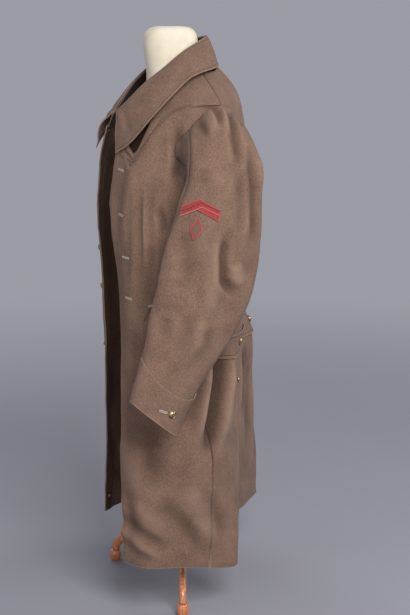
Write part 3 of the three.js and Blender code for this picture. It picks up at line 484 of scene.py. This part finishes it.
def away_from_pole(places):
    """Horizontal directions away from the pole."""
    flat = places * np.array([1, 1, 0])
    return flat / (np.linalg.norm(flat, axis=1)[:, None] + 1e-9)


def front_edge(p):
    """True on a front's opening edge, which is faced and turned."""
    if p.z > 1.13:
        return False
    return p.y < -0.13 and abs(p.x) < 0.05 + 0.13 * (1 - min(1, p.z / 1.1)) + 0.012 or p.z < 0.14


def back_edge(p):
    """True on the vent's edges and the hem."""
    return p.z < 0.16 or (p.z < 0.6 and p.y > 0.07 and -0.09 < p.x < 0.22)


PANELS = [
    # node, finished edge, flat cut (width, length), area
    ("front_left", front_edge, (0.38, 1.14), 0.272),
    ("front_right", front_edge, (0.44, 1.14), 0.345),
    ("back_left", back_edge, (0.34, 1.19), 0.230),
    ("back_right", back_edge, (0.38, 1.17), 0.278),
]
SHOULDER_FOOT = 1.04
SHOULDER_TURNS = 70
panels = {}
for node, finished, flat, area in PANELS:
    panel = weld_copy(node, node + "_cloth", 3, sharp=72)
    rims = measure_rims(panel, finished)
    places = relax(panel, points_of(panel), rims, SHOULDER_FOOT, SHOULDER_TURNS)
    places = seam_press(places, rims, away_from_pole)
    move_points(panel, body_drape(places, panel))
    finish_cloth(panel, node, WOOL)
    panels[node] = panel


# Facings lie inside the front edges and the vent's left edge, and the underlap runs behind it.
# They are the coat's own wool; the front facings are tinted darker as painted shade inside the coat.
INSIDE = [
    # node, material, flat cut (width, length), area
    ("facing_left", WOOL_INSIDE_SHADED, (0.045, 1.00), 0.0335),
    ("facing_right", WOOL_INSIDE_SHADED, (0.045, 1.02), 0.0326),
    ("vent_facing", WOOL, (0.06, 0.50), 0.0224),
    ("vent_underlap", WOOL, (0.09, 0.49), 0.0354),
]
for node, material, flat, area in INSIDE:
    layer = weld_copy(node, node + "_cloth", 2)
    measure_rims(layer, lambda p: True)
    move_points(layer, body_drape(points_of(layer)))
    finish_cloth(layer, node, material)


# The half belt crosses the back waist from seam to seam. It is topstitched all round and follows
# the folds of the backs under it.
half_belt_cloth = weld_copy("half_belt", "half_belt_cloth", 3)
measure_rims(half_belt_cloth, lambda p: True)
move_points(half_belt_cloth, body_drape(points_of(half_belt_cloth)))
finish_cloth(half_belt_cloth, "half_belt", WOOL_STITCHED)


# Two-piece sleeves, gathered a little into the head. The upper arm is broken by long soft
# troughs behind, and the elbow by one deep fold that runs down into the seam behind the arm.
SLEEVE_LINE = np.array([
    # z, x, y of the sleeve's middle
    (0.47, 0.303, -0.155),
    (0.512, 0.300, -0.142),
    (0.605, 0.291, -0.101),
    (0.710, 0.278, -0.049),
    (0.820, 0.265, -0.005),
    (0.940, 0.254, 0.020),
    (1.024, 0.248, 0.034),
    (1.180, 0.215, 0.022),
])
RIGHT_FOREARM_BACK = 0.07
LEFT_SLEEVE_FOLDS = [
    # path (y, z) from the side, half width, depth
    ([(-0.046, 1.190), (-0.048, 1.155), (-0.052, 1.105)], 0.0085, -0.0085),
    ([(-0.028, 1.180), (-0.030, 1.140)], 0.0080, 0.0045),
    ([(-0.010, 1.176), (-0.015, 1.154), (-0.006, 1.115)], 0.0070, -0.0080),
    ([(0.008, 1.176), (0.012, 1.130)], 0.0080, 0.0050),
    ([(0.026, 1.180), (0.028, 1.146)], 0.0060, -0.0060),
    ([(0.042, 1.172), (0.042, 1.120)], 0.0080, 0.0035),
    ([(0.056, 1.172), (0.052, 1.124), (0.058, 1.050)], 0.0100, -0.0100),
    ([(0.072, 1.168), (0.084, 1.136)], 0.0070, -0.0070),
    ([(0.060, 1.060), (0.066, 0.980), (0.060, 0.905)], 0.0160, -0.0060),
    ([(0.092, 1.110), (0.090, 1.000), (0.092, 0.920), (0.080, 0.850)], 0.0130, -0.0110),
    ([(0.078, 1.050), (0.076, 0.960), (0.070, 0.890)], 0.0100, 0.0060),
    ([(0.105, 1.080), (0.110, 1.000)], 0.0120, 0.0050),
    ([(0.026, 0.920), (0.014, 0.860), (0.016, 0.813), (0.036, 0.789), (0.064, 0.768)], 0.0095, -0.0135),
    ([(0.002, 0.900), (-0.005, 0.830), (-0.018, 0.720)], 0.0150, 0.0075),
    ([(0.044, 0.850), (0.050, 0.815), (0.068, 0.796)], 0.0130, 0.0075),
    ([(-0.070, 0.930), (-0.060, 0.860), (-0.066, 0.800)], 0.0180, -0.0060),
    ([(-0.020, 1.060), (-0.024, 1.010)], 0.0160, -0.0035),
    ([(-0.060, 0.760), (-0.072, 0.690), (-0.092, 0.640)], 0.0160, -0.0035),
    ([(-0.030, 0.730), (-0.052, 0.650)], 0.0140, 0.0045),
    ([(-0.010, 0.720), (-0.030, 0.660), (-0.058, 0.610)], 0.0140, -0.0035),
    ([(-0.110, 0.740), (-0.124, 0.690)], 0.0130, -0.0045),
    ([(-0.050, 1.140), (-0.050, 1.090), (-0.054, 1.044), (-0.066, 0.980)], 0.0100, -0.0040),
]
RIGHT_SLEEVE_FOLDS = [
    ([(-0.044, 1.186), (-0.046, 1.110)], 0.0090, -0.0080),
    ([(-0.028, 1.180), (-0.026, 1.130)], 0.0080, 0.0040),
    ([(-0.010, 1.176), (-0.008, 1.120)], 0.0075, -0.0075),
    ([(0.018, 1.178), (0.020, 1.130)], 0.0065, -0.0060),
    ([(0.050, 1.170), (0.048, 1.060)], 0.0095, -0.0090),
    ([(0.090, 1.090), (0.092, 0.980), (0.080, 0.870)], 0.0140, -0.0100),
    ([(0.074, 1.040), (0.074, 0.940)], 0.0110, 0.0050),
    ([(0.030, 0.900), (0.022, 0.850), (0.034, 0.806), (0.076, 0.772)], 0.0100, -0.0120),
    ([(0.006, 0.880), (0.000, 0.800), (0.004, 0.730)], 0.0150, 0.0065),
    ([(-0.066, 0.920), (-0.056, 0.850), (-0.060, 0.790)], 0.0170, -0.0060),
    ([(-0.038, 0.750), (-0.040, 0.680), (-0.046, 0.620)], 0.0160, -0.0060),
    ([(0.020, 0.700), (0.014, 0.630)], 0.0130, -0.0050),
]
FOREARM_BREAKS = [
    # path (y, z) of the short breaks in the crook of the elbow, seen from inside and outside
    ([(-0.128, 0.800), (-0.090, 0.812), (-0.050, 0.800)], 0.0090, -0.0045),
    ([(-0.138, 0.752), (-0.100, 0.760), (-0.066, 0.744)], 0.0080, -0.0035),
]


def away_from_arm(places):
    """Directions away from the middle line of the nearer sleeve."""
    x, y, z = places.T
    middle_x = np.interp(z, SLEEVE_LINE[:, 0], SLEEVE_LINE[:, 1]) * np.sign(x)
    middle_y = np.interp(z, SLEEVE_LINE[:, 0], SLEEVE_LINE[:, 2])
    middle_y = middle_y + np.where(x < 0, RIGHT_FOREARM_BACK * ease(0.8, 0.512, z), 0)
    above = np.clip(z - 1.09, 0, None)
    out = np.column_stack(((x - middle_x) / 0.05 ** 2, (y - middle_y) / 0.1 ** 2, above / 0.075 ** 2))
    return out / (np.linalg.norm(out, axis=1)[:, None] + 1e-9)


def sleeve_drape(places, cloth=None):
    """A sleeve's places with its folds, which fade on the face against the coat, and go on cloth."""
    x, y, z = places.T
    out = away_from_arm(places)
    outer = ease(-0.25, 0.5, out[:, 0] * np.sign(x) + 1.4 * out[:, 2])
    inner = 0.6 * (1 - outer)
    flat = np.column_stack((y, z))
    folds = LEFT_SLEEVE_FOLDS if x.mean() > 0 else RIGHT_SLEEVE_FOLDS
    sink = np.zeros(len(x))
    for i, (path, width, depth) in enumerate(folds):
        gathered = path[0][1] > 1.16
        share = outer if gathered else outer + inner
        sink += share * crease(flat, path, width, depth, near=0.02 if gathered else 0.25)
    for path, width, depth in FOREARM_BREAKS:
        sink += (1 - 0.55 * outer) * crease(flat, path, width, depth)
    if cloth:
        mark_folds(cloth, sink)
    free = ease(1.19, 1.12, z)
    sink += free * (0.0013 * slow_waves(places, 0.098, 4) + 0.0007 * slow_waves(places, 0.037, 5))
    return places + out * sink[:, None]


def spot_on(cloths, place):
    """The nearest point of these cloths to a place in the frame, and the cloth's normal there."""
    best = None
    for cloth in cloths:
        hit, where, normal, _ = cloth.closest_point_on_mesh(place)
        if hit and (best is None or (where - place).length < (best[0] - place).length):
            best = (where.copy(), normal.copy())
    return best


HEAD_LOW = 0.98
HEAD_REACH = 0.016
HEAD_BLEND = 0.024


def close_head(sleeve, shells):
    """Draws the sleeve's head onto the armhole of the front and back that it is sewn to."""
    pulls = []
    for p in rim_points(sleeve):
        pull = spot_on(shells, p + POLE)[0] - POLE - p
        if p.z > HEAD_LOW and pull.length < HEAD_REACH:
            pulls.append((p, np.array(pull)))
    tree = KDTree(len(pulls))
    for i, (p, _) in enumerate(pulls):
        tree.insert(p, i)
    tree.balance()
    places = points_of(sleeve)
    for place in places:
        _, nearest, away = tree.find(Vector(place))
        if away < HEAD_BLEND:
            place += pulls[nearest][1] * (1 - away / HEAD_BLEND) ** 2
    move_points(sleeve, places)


SLEEVES = [
    # node, flat cut (width, length), area
    ("sleeve_top_left", (0.29, 0.72), 0.156),
    ("sleeve_under_left", (0.25, 0.68), 0.134),
    ("sleeve_top_right", (0.29, 0.72), 0.153),
    ("sleeve_under_right", (0.25, 0.68), 0.134),
]
sleeves = {}
for node, flat, area in SLEEVES:
    sleeve = weld_copy(node, node + "_cloth", 3)
    rims = measure_rims(sleeve)
    places = seam_press(points_of(sleeve), rims, away_from_arm)
    move_points(sleeve, sleeve_drape(places, sleeve))
    side = node.split("_")[2]
    close_head(sleeve, [panels["front_" + side], panels["back_" + side]])
    finish_cloth(sleeve, node, WOOL)
    sleeves[node] = sleeve

# Turned cuffs: a second layer round each sleeve's end, its upper edge rolled and worn pale.
for side in ("left", "right"):
    cuff = weld_copy("cuff_" + side, f"cuff_{side}_cloth", 3)
    measure_rims(cuff, lambda p: True)
    move_points(cuff, sleeve_drape(points_of(cuff)))
    finish_cloth(cuff, "cuff_" + side, WOOL)
    sleeves["cuff_" + side] = cuff


# Collar: a stand round the neck and a broad fall, creased softly where it turns down. The fall's
# front end has a few upright ridges from being worn buttoned, and its edges are topstitched. The
# stand's wool is tinted near black, as painted shade under the fall.
COLLAR_RIDGES = [
    # path (y, z) from the side, half width, depth
    ([(-0.168, 1.170), (-0.164, 1.105)], 0.0055, -0.0022),
    ([(-0.150, 1.175), (-0.150, 1.110)], 0.0060, -0.0020),
    ([(-0.120, 1.190), (-0.108, 1.150)], 0.0100, -0.0015),
    ([(0.010, 1.290), (0.050, 1.275)], 0.0080, -0.0025),
    ([(-0.040, 1.262), (0.010, 1.262)], 0.0090, -0.0020),
]
for node, flat, area in (("collar_fall", (0.72, 0.125), 0.0688), ("collar_stand", (0.62, 0.09), 0.0449)):
    collar = weld_copy(node, node + "_cloth", 3)
    measure_rims(collar, lambda p: True)
    places = points_of(collar)
    out = away_from_pole(places)
    sink = 0.0009 * slow_waves(places, 0.085, 7)
    if node == "collar_fall":
        flat_view = places[:, 1:]
        for path, width, depth in COLLAR_RIDGES:
            sink += crease(flat_view, path, width, depth)
    move_points(collar, places + out * sink[:, None])
    finish_cloth(collar, node, WOOL_STITCHED if node == "collar_fall" else WOOL_SHADED)


# Brass buttons: a plain dome inside a raised rim, on the cloth that carries it. The brass is
# worn bright on the dome and has turned brown in the groove.
BUTTON_PROFILE = [
    # share of the radius, height as a share of the radius
    (0.80, 0.00),
    (0.97, 0.06),
    (1.00, 0.16),
    (0.98, 0.25),
    (0.92, 0.29),
    (0.87, 0.26),
    (0.85, 0.22),
    (0.78, 0.30),
    (0.66, 0.43),
    (0.48, 0.56),
    (0.26, 0.64),
    (0.06, 0.67),
]


def make_brass():
    """Old brass: yellow where it is rubbed, brown where it isn't."""
    brass = bpy.data.materials.new("old_brass")
    brass.use_nodes = True
    tree = brass.node_tree
    shader = tree.nodes["Principled BSDF"]
    place = tree.nodes.new("ShaderNodeTexCoord").outputs["Object"]
    stain = noise_mask(tree, place, 0.004, 3, 0.38, 0.7)
    hollow = add_node(tree, "ShaderNodeAttribute", attribute_name="hollow").outputs["Fac"]
    dark = math_node(tree, "MAXIMUM", math_node(tree, "MULTIPLY", stain, 0.6), hollow)
    colour = mix_colours(tree, dark, (0.46, 0.34, 0.18, 1), (0.12, 0.075, 0.035, 1))
    tree.links.new(colour, shader.inputs["Base Color"])
    rough = add_node(tree, "ShaderNodeMapRange", inputs={"To Min": 0.26, "To Max": 0.6})
    tree.links.new(dark, rough.inputs["Value"])
    tree.links.new(rough.outputs[0], shader.inputs["Roughness"])
    shader.inputs["Metallic"].default_value = 1
    scratch = noise_mask(tree, place, 0.0012, 2, 0.3, 0.7)
    bump = add_node(tree, "ShaderNodeBump", inputs={"Strength": 0.15, "Distance": 0.0003})
    tree.links.new(scratch, bump.inputs["Height"])
    tree.links.new(bump.outputs["Normal"], shader.inputs["Normal"])
    return brass


OLD_BRASS = make_brass()


def turn_button(node, cloths, radius, outwards):
    """A button turned from its profile, seated on the nearest cloth where the CAD button is."""
    low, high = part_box(node)
    centre = (Vector(low) + Vector(high)) / 2
    where, normal = spot_on(cloths, centre)
    if normal.dot(outwards) < 0:
        normal = -normal
    bpy.ops.object.select_all(action="DESELECT")
    bpy.ops.mesh.primitive_circle_add(vertices=40, radius=radius * 0.8, fill_type="NGON")
    made = bpy.context.object
    made.name = node + "_brass"
    bpy.ops.object.mode_set(mode="EDIT")
    bpy.ops.mesh.select_all(action="SELECT")
    reach, level = BUTTON_PROFILE[0]
    for share, height in BUTTON_PROFILE[1:]:
        rise = (0, 0, (height - level) * radius)
        bpy.ops.mesh.extrude_region_move(TRANSFORM_OT_translate={"value": rise})
        grow = share / reach
        bpy.ops.transform.resize(value=(grow, grow, 1))
        reach, level = share, height
    bpy.ops.mesh.select_all(action="SELECT")
    bpy.ops.mesh.normals_make_consistent(inside=False)
    bpy.ops.object.mode_set(mode="OBJECT")
    hollow = made.data.attributes.new("hollow", "FLOAT", "POINT")
    for i, v in enumerate(made.data.vertices):
        ring = math.hypot(v.co.x, v.co.y) / radius
        hollow.data[i].value = max(0.0, 1 - abs(ring - 0.85) / 0.09)
    turn = Vector((0, 0, 1)).rotation_difference(normal).to_matrix().to_4x4()
    made.data.transform(turn)
    made.data.transform(Matrix.Translation(where + normal * 0.0002))
    bpy.ops.object.shade_smooth_by_angle(angle=math.radians(50))
    made.data.materials.append(OLD_BRASS)
    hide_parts(node)
    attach(made, "root")
    return made


BUTTON_RADIUS = 0.009
SMALL_BUTTON_RADIUS = 0.006
for i in range(1, 5):
    turn_button(f"front_button_{i}", [panels["front_right"]], BUTTON_RADIUS, Vector((-0.4, -1, 0)))
for i in (1, 2):
    turn_button(f"belt_button_{i}", [half_belt_cloth], BUTTON_RADIUS, Vector((0, 1, 0)))
for side, way in (("left", 1), ("right", -1)):
    turn_button(f"cuff_button_{side}", [sleeves["cuff_" + side]], BUTTON_RADIUS, Vector((way, 0.3, 0)))
turn_button("vent_button", [panels["back_left"]], SMALL_BUTTON_RADIUS, Vector((0.4, 1, 0)))
turn_button("corner_button", [bpy.data.objects["facing_right_cloth"]], SMALL_BUTTON_RADIUS,
            Vector((1, 0.4, 0)))


# Buttonholes and bar tacks are worked in pale linen thread, and the pocket slits are near-black
# loops, painted shade for the open slits. Each is a closed loop of thread that lies on the cloth,
# turned the way that it is cut.
LIP = 0.0011


def make_thread(name, low, high):
    """Twisted thread, laid side by side, between two tones."""
    thread = bpy.data.materials.new(name)
    thread.use_nodes = True
    tree = thread.node_tree
    shader = tree.nodes["Principled BSDF"]
    place = tree.nodes.new("ShaderNodeTexCoord").outputs["Object"]
    strands = noise_mask(tree, place, 0.0011, 2, 0.3, 0.7)
    colour = mix_colours(tree, strands, low, high)
    tree.links.new(colour, shader.inputs["Base Color"])
    bump = add_node(tree, "ShaderNodeBump", inputs={"Strength": 0.6, "Distance": 0.0005})
    tree.links.new(strands, bump.inputs["Height"])
    tree.links.new(bump.outputs["Normal"], shader.inputs["Normal"])
    shader.inputs["Roughness"].default_value = 0.75
    return thread


THREAD = make_thread("linen_thread", (0.25, 0.20, 0.15, 1), (0.52, 0.45, 0.36, 1))
SLIT_SHADE = make_thread("slit_shade_thread", (0.05, 0.03, 0.02, 1), (0.17, 0.11, 0.08, 1))


def thread_loop(name, cloths, centre, run, length, width, carrier, material=None):
    """A closed loop of thread, its long way along run, pressed onto the nearest cloth."""
    bpy.ops.object.select_all(action="DESELECT")
    bpy.ops.mesh.primitive_torus_add(major_segments=36, minor_segments=8,
                                     major_radius=width / 2, minor_radius=LIP)
    loop = bpy.context.object
    loop.name = name
    for v in loop.data.vertices:
        v.co.x += math.copysign(max(0.0, length / 2 - width / 2), v.co.x) if abs(v.co.x) > 1e-5 else 0
        v.co.z *= 0.75
    where, normal = spot_on(cloths, Vector(centre) + POLE)
    if normal.dot(carrier) < 0:
        normal = -normal
    along = (Vector(run) - normal * Vector(run).dot(normal)).normalized()
    across = normal.cross(along)
    turn = Matrix((along, across, normal)).transposed().to_4x4()
    loop.data.transform(Matrix.Translation(where) @ turn)
    for v in loop.data.vertices:
        above = (v.co - where).dot(normal)
        near, face = spot_on(cloths, v.co)
        if face.dot(normal) < 0:
            continue
        v.co = near + face * (above * 0.9 + 0.0002)
    bpy.ops.object.shade_smooth()
    loop.data.materials.append(material or THREAD)
    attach(loop, "root")
    return loop


OUT_LEFT = Vector((0.5, -1, 0))
CUFF_HOLES = {"left": (0.3355, -0.1255, 0.5350), "right": (-0.3355, -0.0540, 0.5350)}
BUTTONHOLES = [
    # place from the pole (x, y, z)
    (0.0853, -0.1624, 1.0342),
    (0.1018, -0.1701, 0.9345),
    (0.1188, -0.1619, 0.8385),
    (0.1285, -0.1563, 0.7465),
]
for i, place in enumerate(BUTTONHOLES):
    thread_loop(f"buttonhole_{i + 1}", [panels["front_left"]], place, (1, 0.35, -0.12), 0.020, 0.0032,
                OUT_LEFT)
for side, way in (("left", 1), ("right", -1)):
    thread_loop(f"cuff_buttonhole_{side}", [sleeves["cuff_" + side]],
                CUFF_HOLES[side], (0, 0.8, -0.35), 0.019, 0.0030, Vector((way, 0, 0)))
    thread_loop(f"pocket_tack_{side}", [panels["front_" + side]],
                (way * 0.166, -0.1129, 0.7345), (0, 1, 0.2), 0.012, 0.0030, Vector((way, -0.6, 0)))
    # The slit's near-black loop is painted shade in the opening.
    thread_loop(f"pocket_slit_{side}", [panels["front_" + side]],
                (way * 0.163, -0.1205, 0.7160), (0, 0.45, 0.9), 0.036, 0.0030, Vector((way, -0.6, 0)),
                SLIT_SHADE)


# Sleeve badge: a felt chevron with a dark line and a pale line along it, and under it a small
# lozenge whose middle is wool-coloured. Both are sewn flat on the left sleeve.
DARK_LINE = (0.030, 0.012, 0.012, 1)


def make_felt(name, colour, line):
    """Felt in one colour with worked threads of another."""
    felt = bpy.data.materials.new(name)
    felt.use_nodes = True
    tree = felt.node_tree
    shader = tree.nodes["Principled BSDF"]
    place = tree.nodes.new("ShaderNodeTexCoord").outputs["Object"]
    fibres = noise_mask(tree, place, 0.0022, 3, 0.32, 0.68)
    shade = mix_colours(tree, fibres, tuple(c * 0.62 for c in colour[:3]) + (1,), colour)
    edge = add_node(tree, "ShaderNodeAttribute", attribute_name="edge").outputs["Fac"]
    worked = math_node(tree, "SUBTRACT", 1, math_node(tree, "DIVIDE", edge, 0.002), clamp=True)
    shade = mix_colours(tree, math_node(tree, "MULTIPLY", worked, 0.5), shade, line)
    bar = add_node(tree, "ShaderNodeAttribute", attribute_name="bar").outputs["Fac"]
    for place_on_bar, half, tone in ((0.36, 0.06, DARK_LINE), (0.72, 0.045, line)):
        off = math_node(tree, "ABSOLUTE", math_node(tree, "SUBTRACT", bar, place_on_bar))
        row = math_node(tree, "SUBTRACT", 1, math_node(tree, "DIVIDE", off, half), clamp=True)
        shade = mix_colours(tree, row, shade, tone)
    core = add_node(tree, "ShaderNodeAttribute", attribute_name="core").outputs["Fac"]
    shade = mix_colours(tree, core, shade, (0.13, 0.07, 0.05, 1))
    tree.links.new(shade, shader.inputs["Base Color"])
    bump = add_node(tree, "ShaderNodeBump", inputs={"Strength": 0.5, "Distance": 0.0006})
    tree.links.new(fibres, bump.inputs["Height"])
    tree.links.new(bump.outputs["Normal"], shader.inputs["Normal"])
    shader.inputs["Roughness"].default_value = 0.9
    shader.inputs["Sheen Weight"].default_value = 0.2
    return felt


RED_FELT = make_felt("red_felt", (0.34, 0.030, 0.030, 1), (0.42, 0.17, 0.14, 1))
CHEVRON_DROP = 0.020
CHEVRON_BAND = 0.023
LOZENGE_LINE = (0.0030, 0.0042)
BADGE = [
    # node, flat cut (width, length), area
    ("badge_chevron", (0.095, 0.05), 0.0023),
    ("badge_lozenge", (0.03, 0.045), 0.0008),
]
badge_low, badge_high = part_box("badge_chevron")
for node, flat, area in BADGE:
    badge = weld_copy(node, node + "_felt", 3)
    rims = measure_rims(badge, lambda p: True)
    chevron = node == "badge_chevron"
    places = points_of(badge)
    across = np.zeros(len(places))
    if chevron:
        apex = np.interp(places[:, 1] + POLE.y, (badge_low[1], badge_high[1]), (-1.03, 0.97))
        top = badge_high[2] - CHEVRON_DROP * np.abs(apex)
        across = np.clip((top - places[:, 2]) / CHEVRON_BAND, 0, 1)
    core = np.zeros(len(places)) if chevron else ease(*LOZENGE_LINE, rims)
    for label, values in (("bar", across), ("core", core)):
        badge.data.attributes.new(label, "FLOAT", "POINT").data.foreach_set("value", values)
    move_points(badge, sleeve_drape(places))
    badge.data.materials.clear()
    badge.data.materials.append(RED_FELT)
    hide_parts(node)
    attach(badge, "root")


# Dress form: a smooth torso and neck in cream cotton, stretched over padding, yellowed a little.
def make_cotton():
    """Cream cotton, plain weave, yellowed a little in patches."""
    cotton = bpy.data.materials.new("cream_cotton")
    cotton.use_nodes = True
    tree = cotton.node_tree
    shader = tree.nodes["Principled BSDF"]
    place = tree.nodes.new("ShaderNodeTexCoord").outputs["Object"]
    patch = noise_mask(tree, place, 0.07, 3, 0.35, 0.7)
    colour = mix_colours(tree, patch, (0.66, 0.60, 0.48, 1), (0.56, 0.48, 0.34, 1))
    tree.links.new(colour, shader.inputs["Base Color"])
    weave = noise_mask(tree, place, 0.0014, 2, 0.3, 0.7)
    bump = add_node(tree, "ShaderNodeBump", inputs={"Strength": 0.3, "Distance": 0.0005})
    tree.links.new(weave, bump.inputs["Height"])
    tree.links.new(bump.outputs["Normal"], shader.inputs["Normal"])
    shader.inputs["Roughness"].default_value = 0.85
    shader.inputs["Sheen Weight"].default_value = 0.15
    return cotton


CREAM_COTTON = make_cotton()
for node in ("form_torso", "form_neck"):
    form = weld_copy(node, node + "_cover", 2, sharp=60)
    form.data.materials.clear()
    form.data.materials.append(CREAM_COTTON)
    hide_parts(node)
    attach(form, "root")


# Stand: turned and bent beech, stained red-brown under a thick bright varnish.
def make_varnished_wood():
    """Red-brown stained wood with fine grain under a clear coat."""
    wood = bpy.data.materials.new("varnished_beech")
    wood.use_nodes = True
    tree = wood.node_tree
    shader = tree.nodes["Principled BSDF"]
    place = tree.nodes.new("ShaderNodeTexCoord").outputs["Object"]
    grain = noise_mask(tree, place, 0.006, 4, 0.3, 0.7, (1, 1, 0.16))
    colour = mix_colours(tree, grain, (0.34, 0.100, 0.036, 1), (0.70, 0.260, 0.090, 1))
    tree.links.new(colour, shader.inputs["Base Color"])
    bump = add_node(tree, "ShaderNodeBump", inputs={"Strength": 0.08, "Distance": 0.0006})
    tree.links.new(grain, bump.inputs["Height"])
    tree.links.new(bump.outputs["Normal"], shader.inputs["Normal"])
    shader.inputs["Roughness"].default_value = 0.32
    shader.inputs["Coat Weight"].default_value = 0.8
    shader.inputs["Coat Roughness"].default_value = 0.08
    return wood


VARNISHED_WOOD = make_varnished_wood()
STAND_NODES = ["stand_hub", "stand_pole"]
STAND_NODES += [f"stand_leg_{i}" for i in (1, 2, 3)]
STAND_NODES += [f"stand_foot_{i}" for i in (1, 2, 3)]
for node in STAND_NODES:
    wood = weld_copy(node, node + "_wood", 2, crease=0.75, sharp=55)
    wood.data.materials.clear()
    wood.data.materials.append(VARNISHED_WOOD)
    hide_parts(node)
    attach(wood, "root")


# A plain pale floor that fades into the light of the wall behind, and soft studio light.
FLOOR_COLOUR = (0.25, 0.25, 0.28, 1)
WALL_COLOUR = (0.44, 0.44, 0.5, 1)
WALL_LIGHT = 0.75
SWEEP_NEAR = 1.2
SWEEP_FAR = 3.6
bpy.ops.object.select_all(action="DESELECT")
bpy.ops.mesh.primitive_plane_add(size=60, location=(0, 0, 0))
floor = bpy.context.object
floor.name = "studio_floor"


def make_studio_paper():
    """Matt grey paper with faint clouds, which fades far out into the light of the wall."""
    paper = bpy.data.materials.new("studio_paper")
    paper.use_nodes = True
    tree = paper.node_tree
    shader = tree.nodes["Principled BSDF"]
    place = tree.nodes.new("ShaderNodeTexCoord").outputs["Object"]
    clouds = noise_mask(tree, place, 0.9, 2, 0.3, 0.7)
    paler = tuple(c * 1.05 for c in FLOOR_COLOUR[:3]) + (1,)
    tree.links.new(mix_colours(tree, clouds, FLOOR_COLOUR, paler), shader.inputs["Base Color"])
    shader.inputs["Roughness"].default_value = 0.9
    spot = add_node(tree, "ShaderNodeNewGeometry").outputs["Position"]
    away = add_node(tree, "ShaderNodeVectorMath", operation="LENGTH")
    tree.links.new(spot, away.inputs[0])
    fade = add_node(tree, "ShaderNodeMapRange", interpolation_type="SMOOTHSTEP",
                    inputs={"From Min": SWEEP_NEAR, "From Max": SWEEP_FAR})
    tree.links.new(away.outputs["Value"], fade.inputs["Value"])
    wall = add_node(tree, "ShaderNodeEmission", inputs={"Color": WALL_COLOUR, "Strength": WALL_LIGHT})
    sweep = tree.nodes.new("ShaderNodeMixShader")
    tree.links.new(fade.outputs[0], sweep.inputs[0])
    tree.links.new(shader.outputs[0], sweep.inputs[1])
    tree.links.new(wall.outputs[0], sweep.inputs[2])
    tree.links.new(sweep.outputs[0], tree.nodes["Material Output"].inputs["Surface"])
    return paper


floor.data.materials.append(make_studio_paper())

world = bpy.data.worlds.new("studio")
bpy.context.scene.world = world
world.use_nodes = True
world.node_tree.nodes["Background"].inputs["Color"].default_value = WALL_COLOUR
world.node_tree.nodes["Background"].inputs["Strength"].default_value = WALL_LIGHT

LIGHTS = [
    # name, place from the pole, size, power
    ("key", (2.7, 0.2, 2.5), 1.5, 104),
    ("fill", (2.2, -1.9, 0.9), 2.0, 18),
    ("back", (0.3, 2.9, 1.9), 1.6, 36),
    ("far_side", (-3.0, -0.6, 2.2), 2.0, 26),
]
for name, place, size, power in LIGHTS:
    light = bpy.data.objects.new(name, bpy.data.lights.new(name, "AREA"))
    light.data.shape = "SQUARE"
    light.data.size = size
    light.data.energy = power
    light.location = Vector(place) + POLE
    aim = Vector((0, 0, 0.75)) + POLE - light.location
    light.rotation_euler = aim.to_track_quat("-Z", "Y").to_euler()
    bpy.context.scene.collection.objects.link(light)
bpy.context.scene.view_settings.view_transform = "Standard"
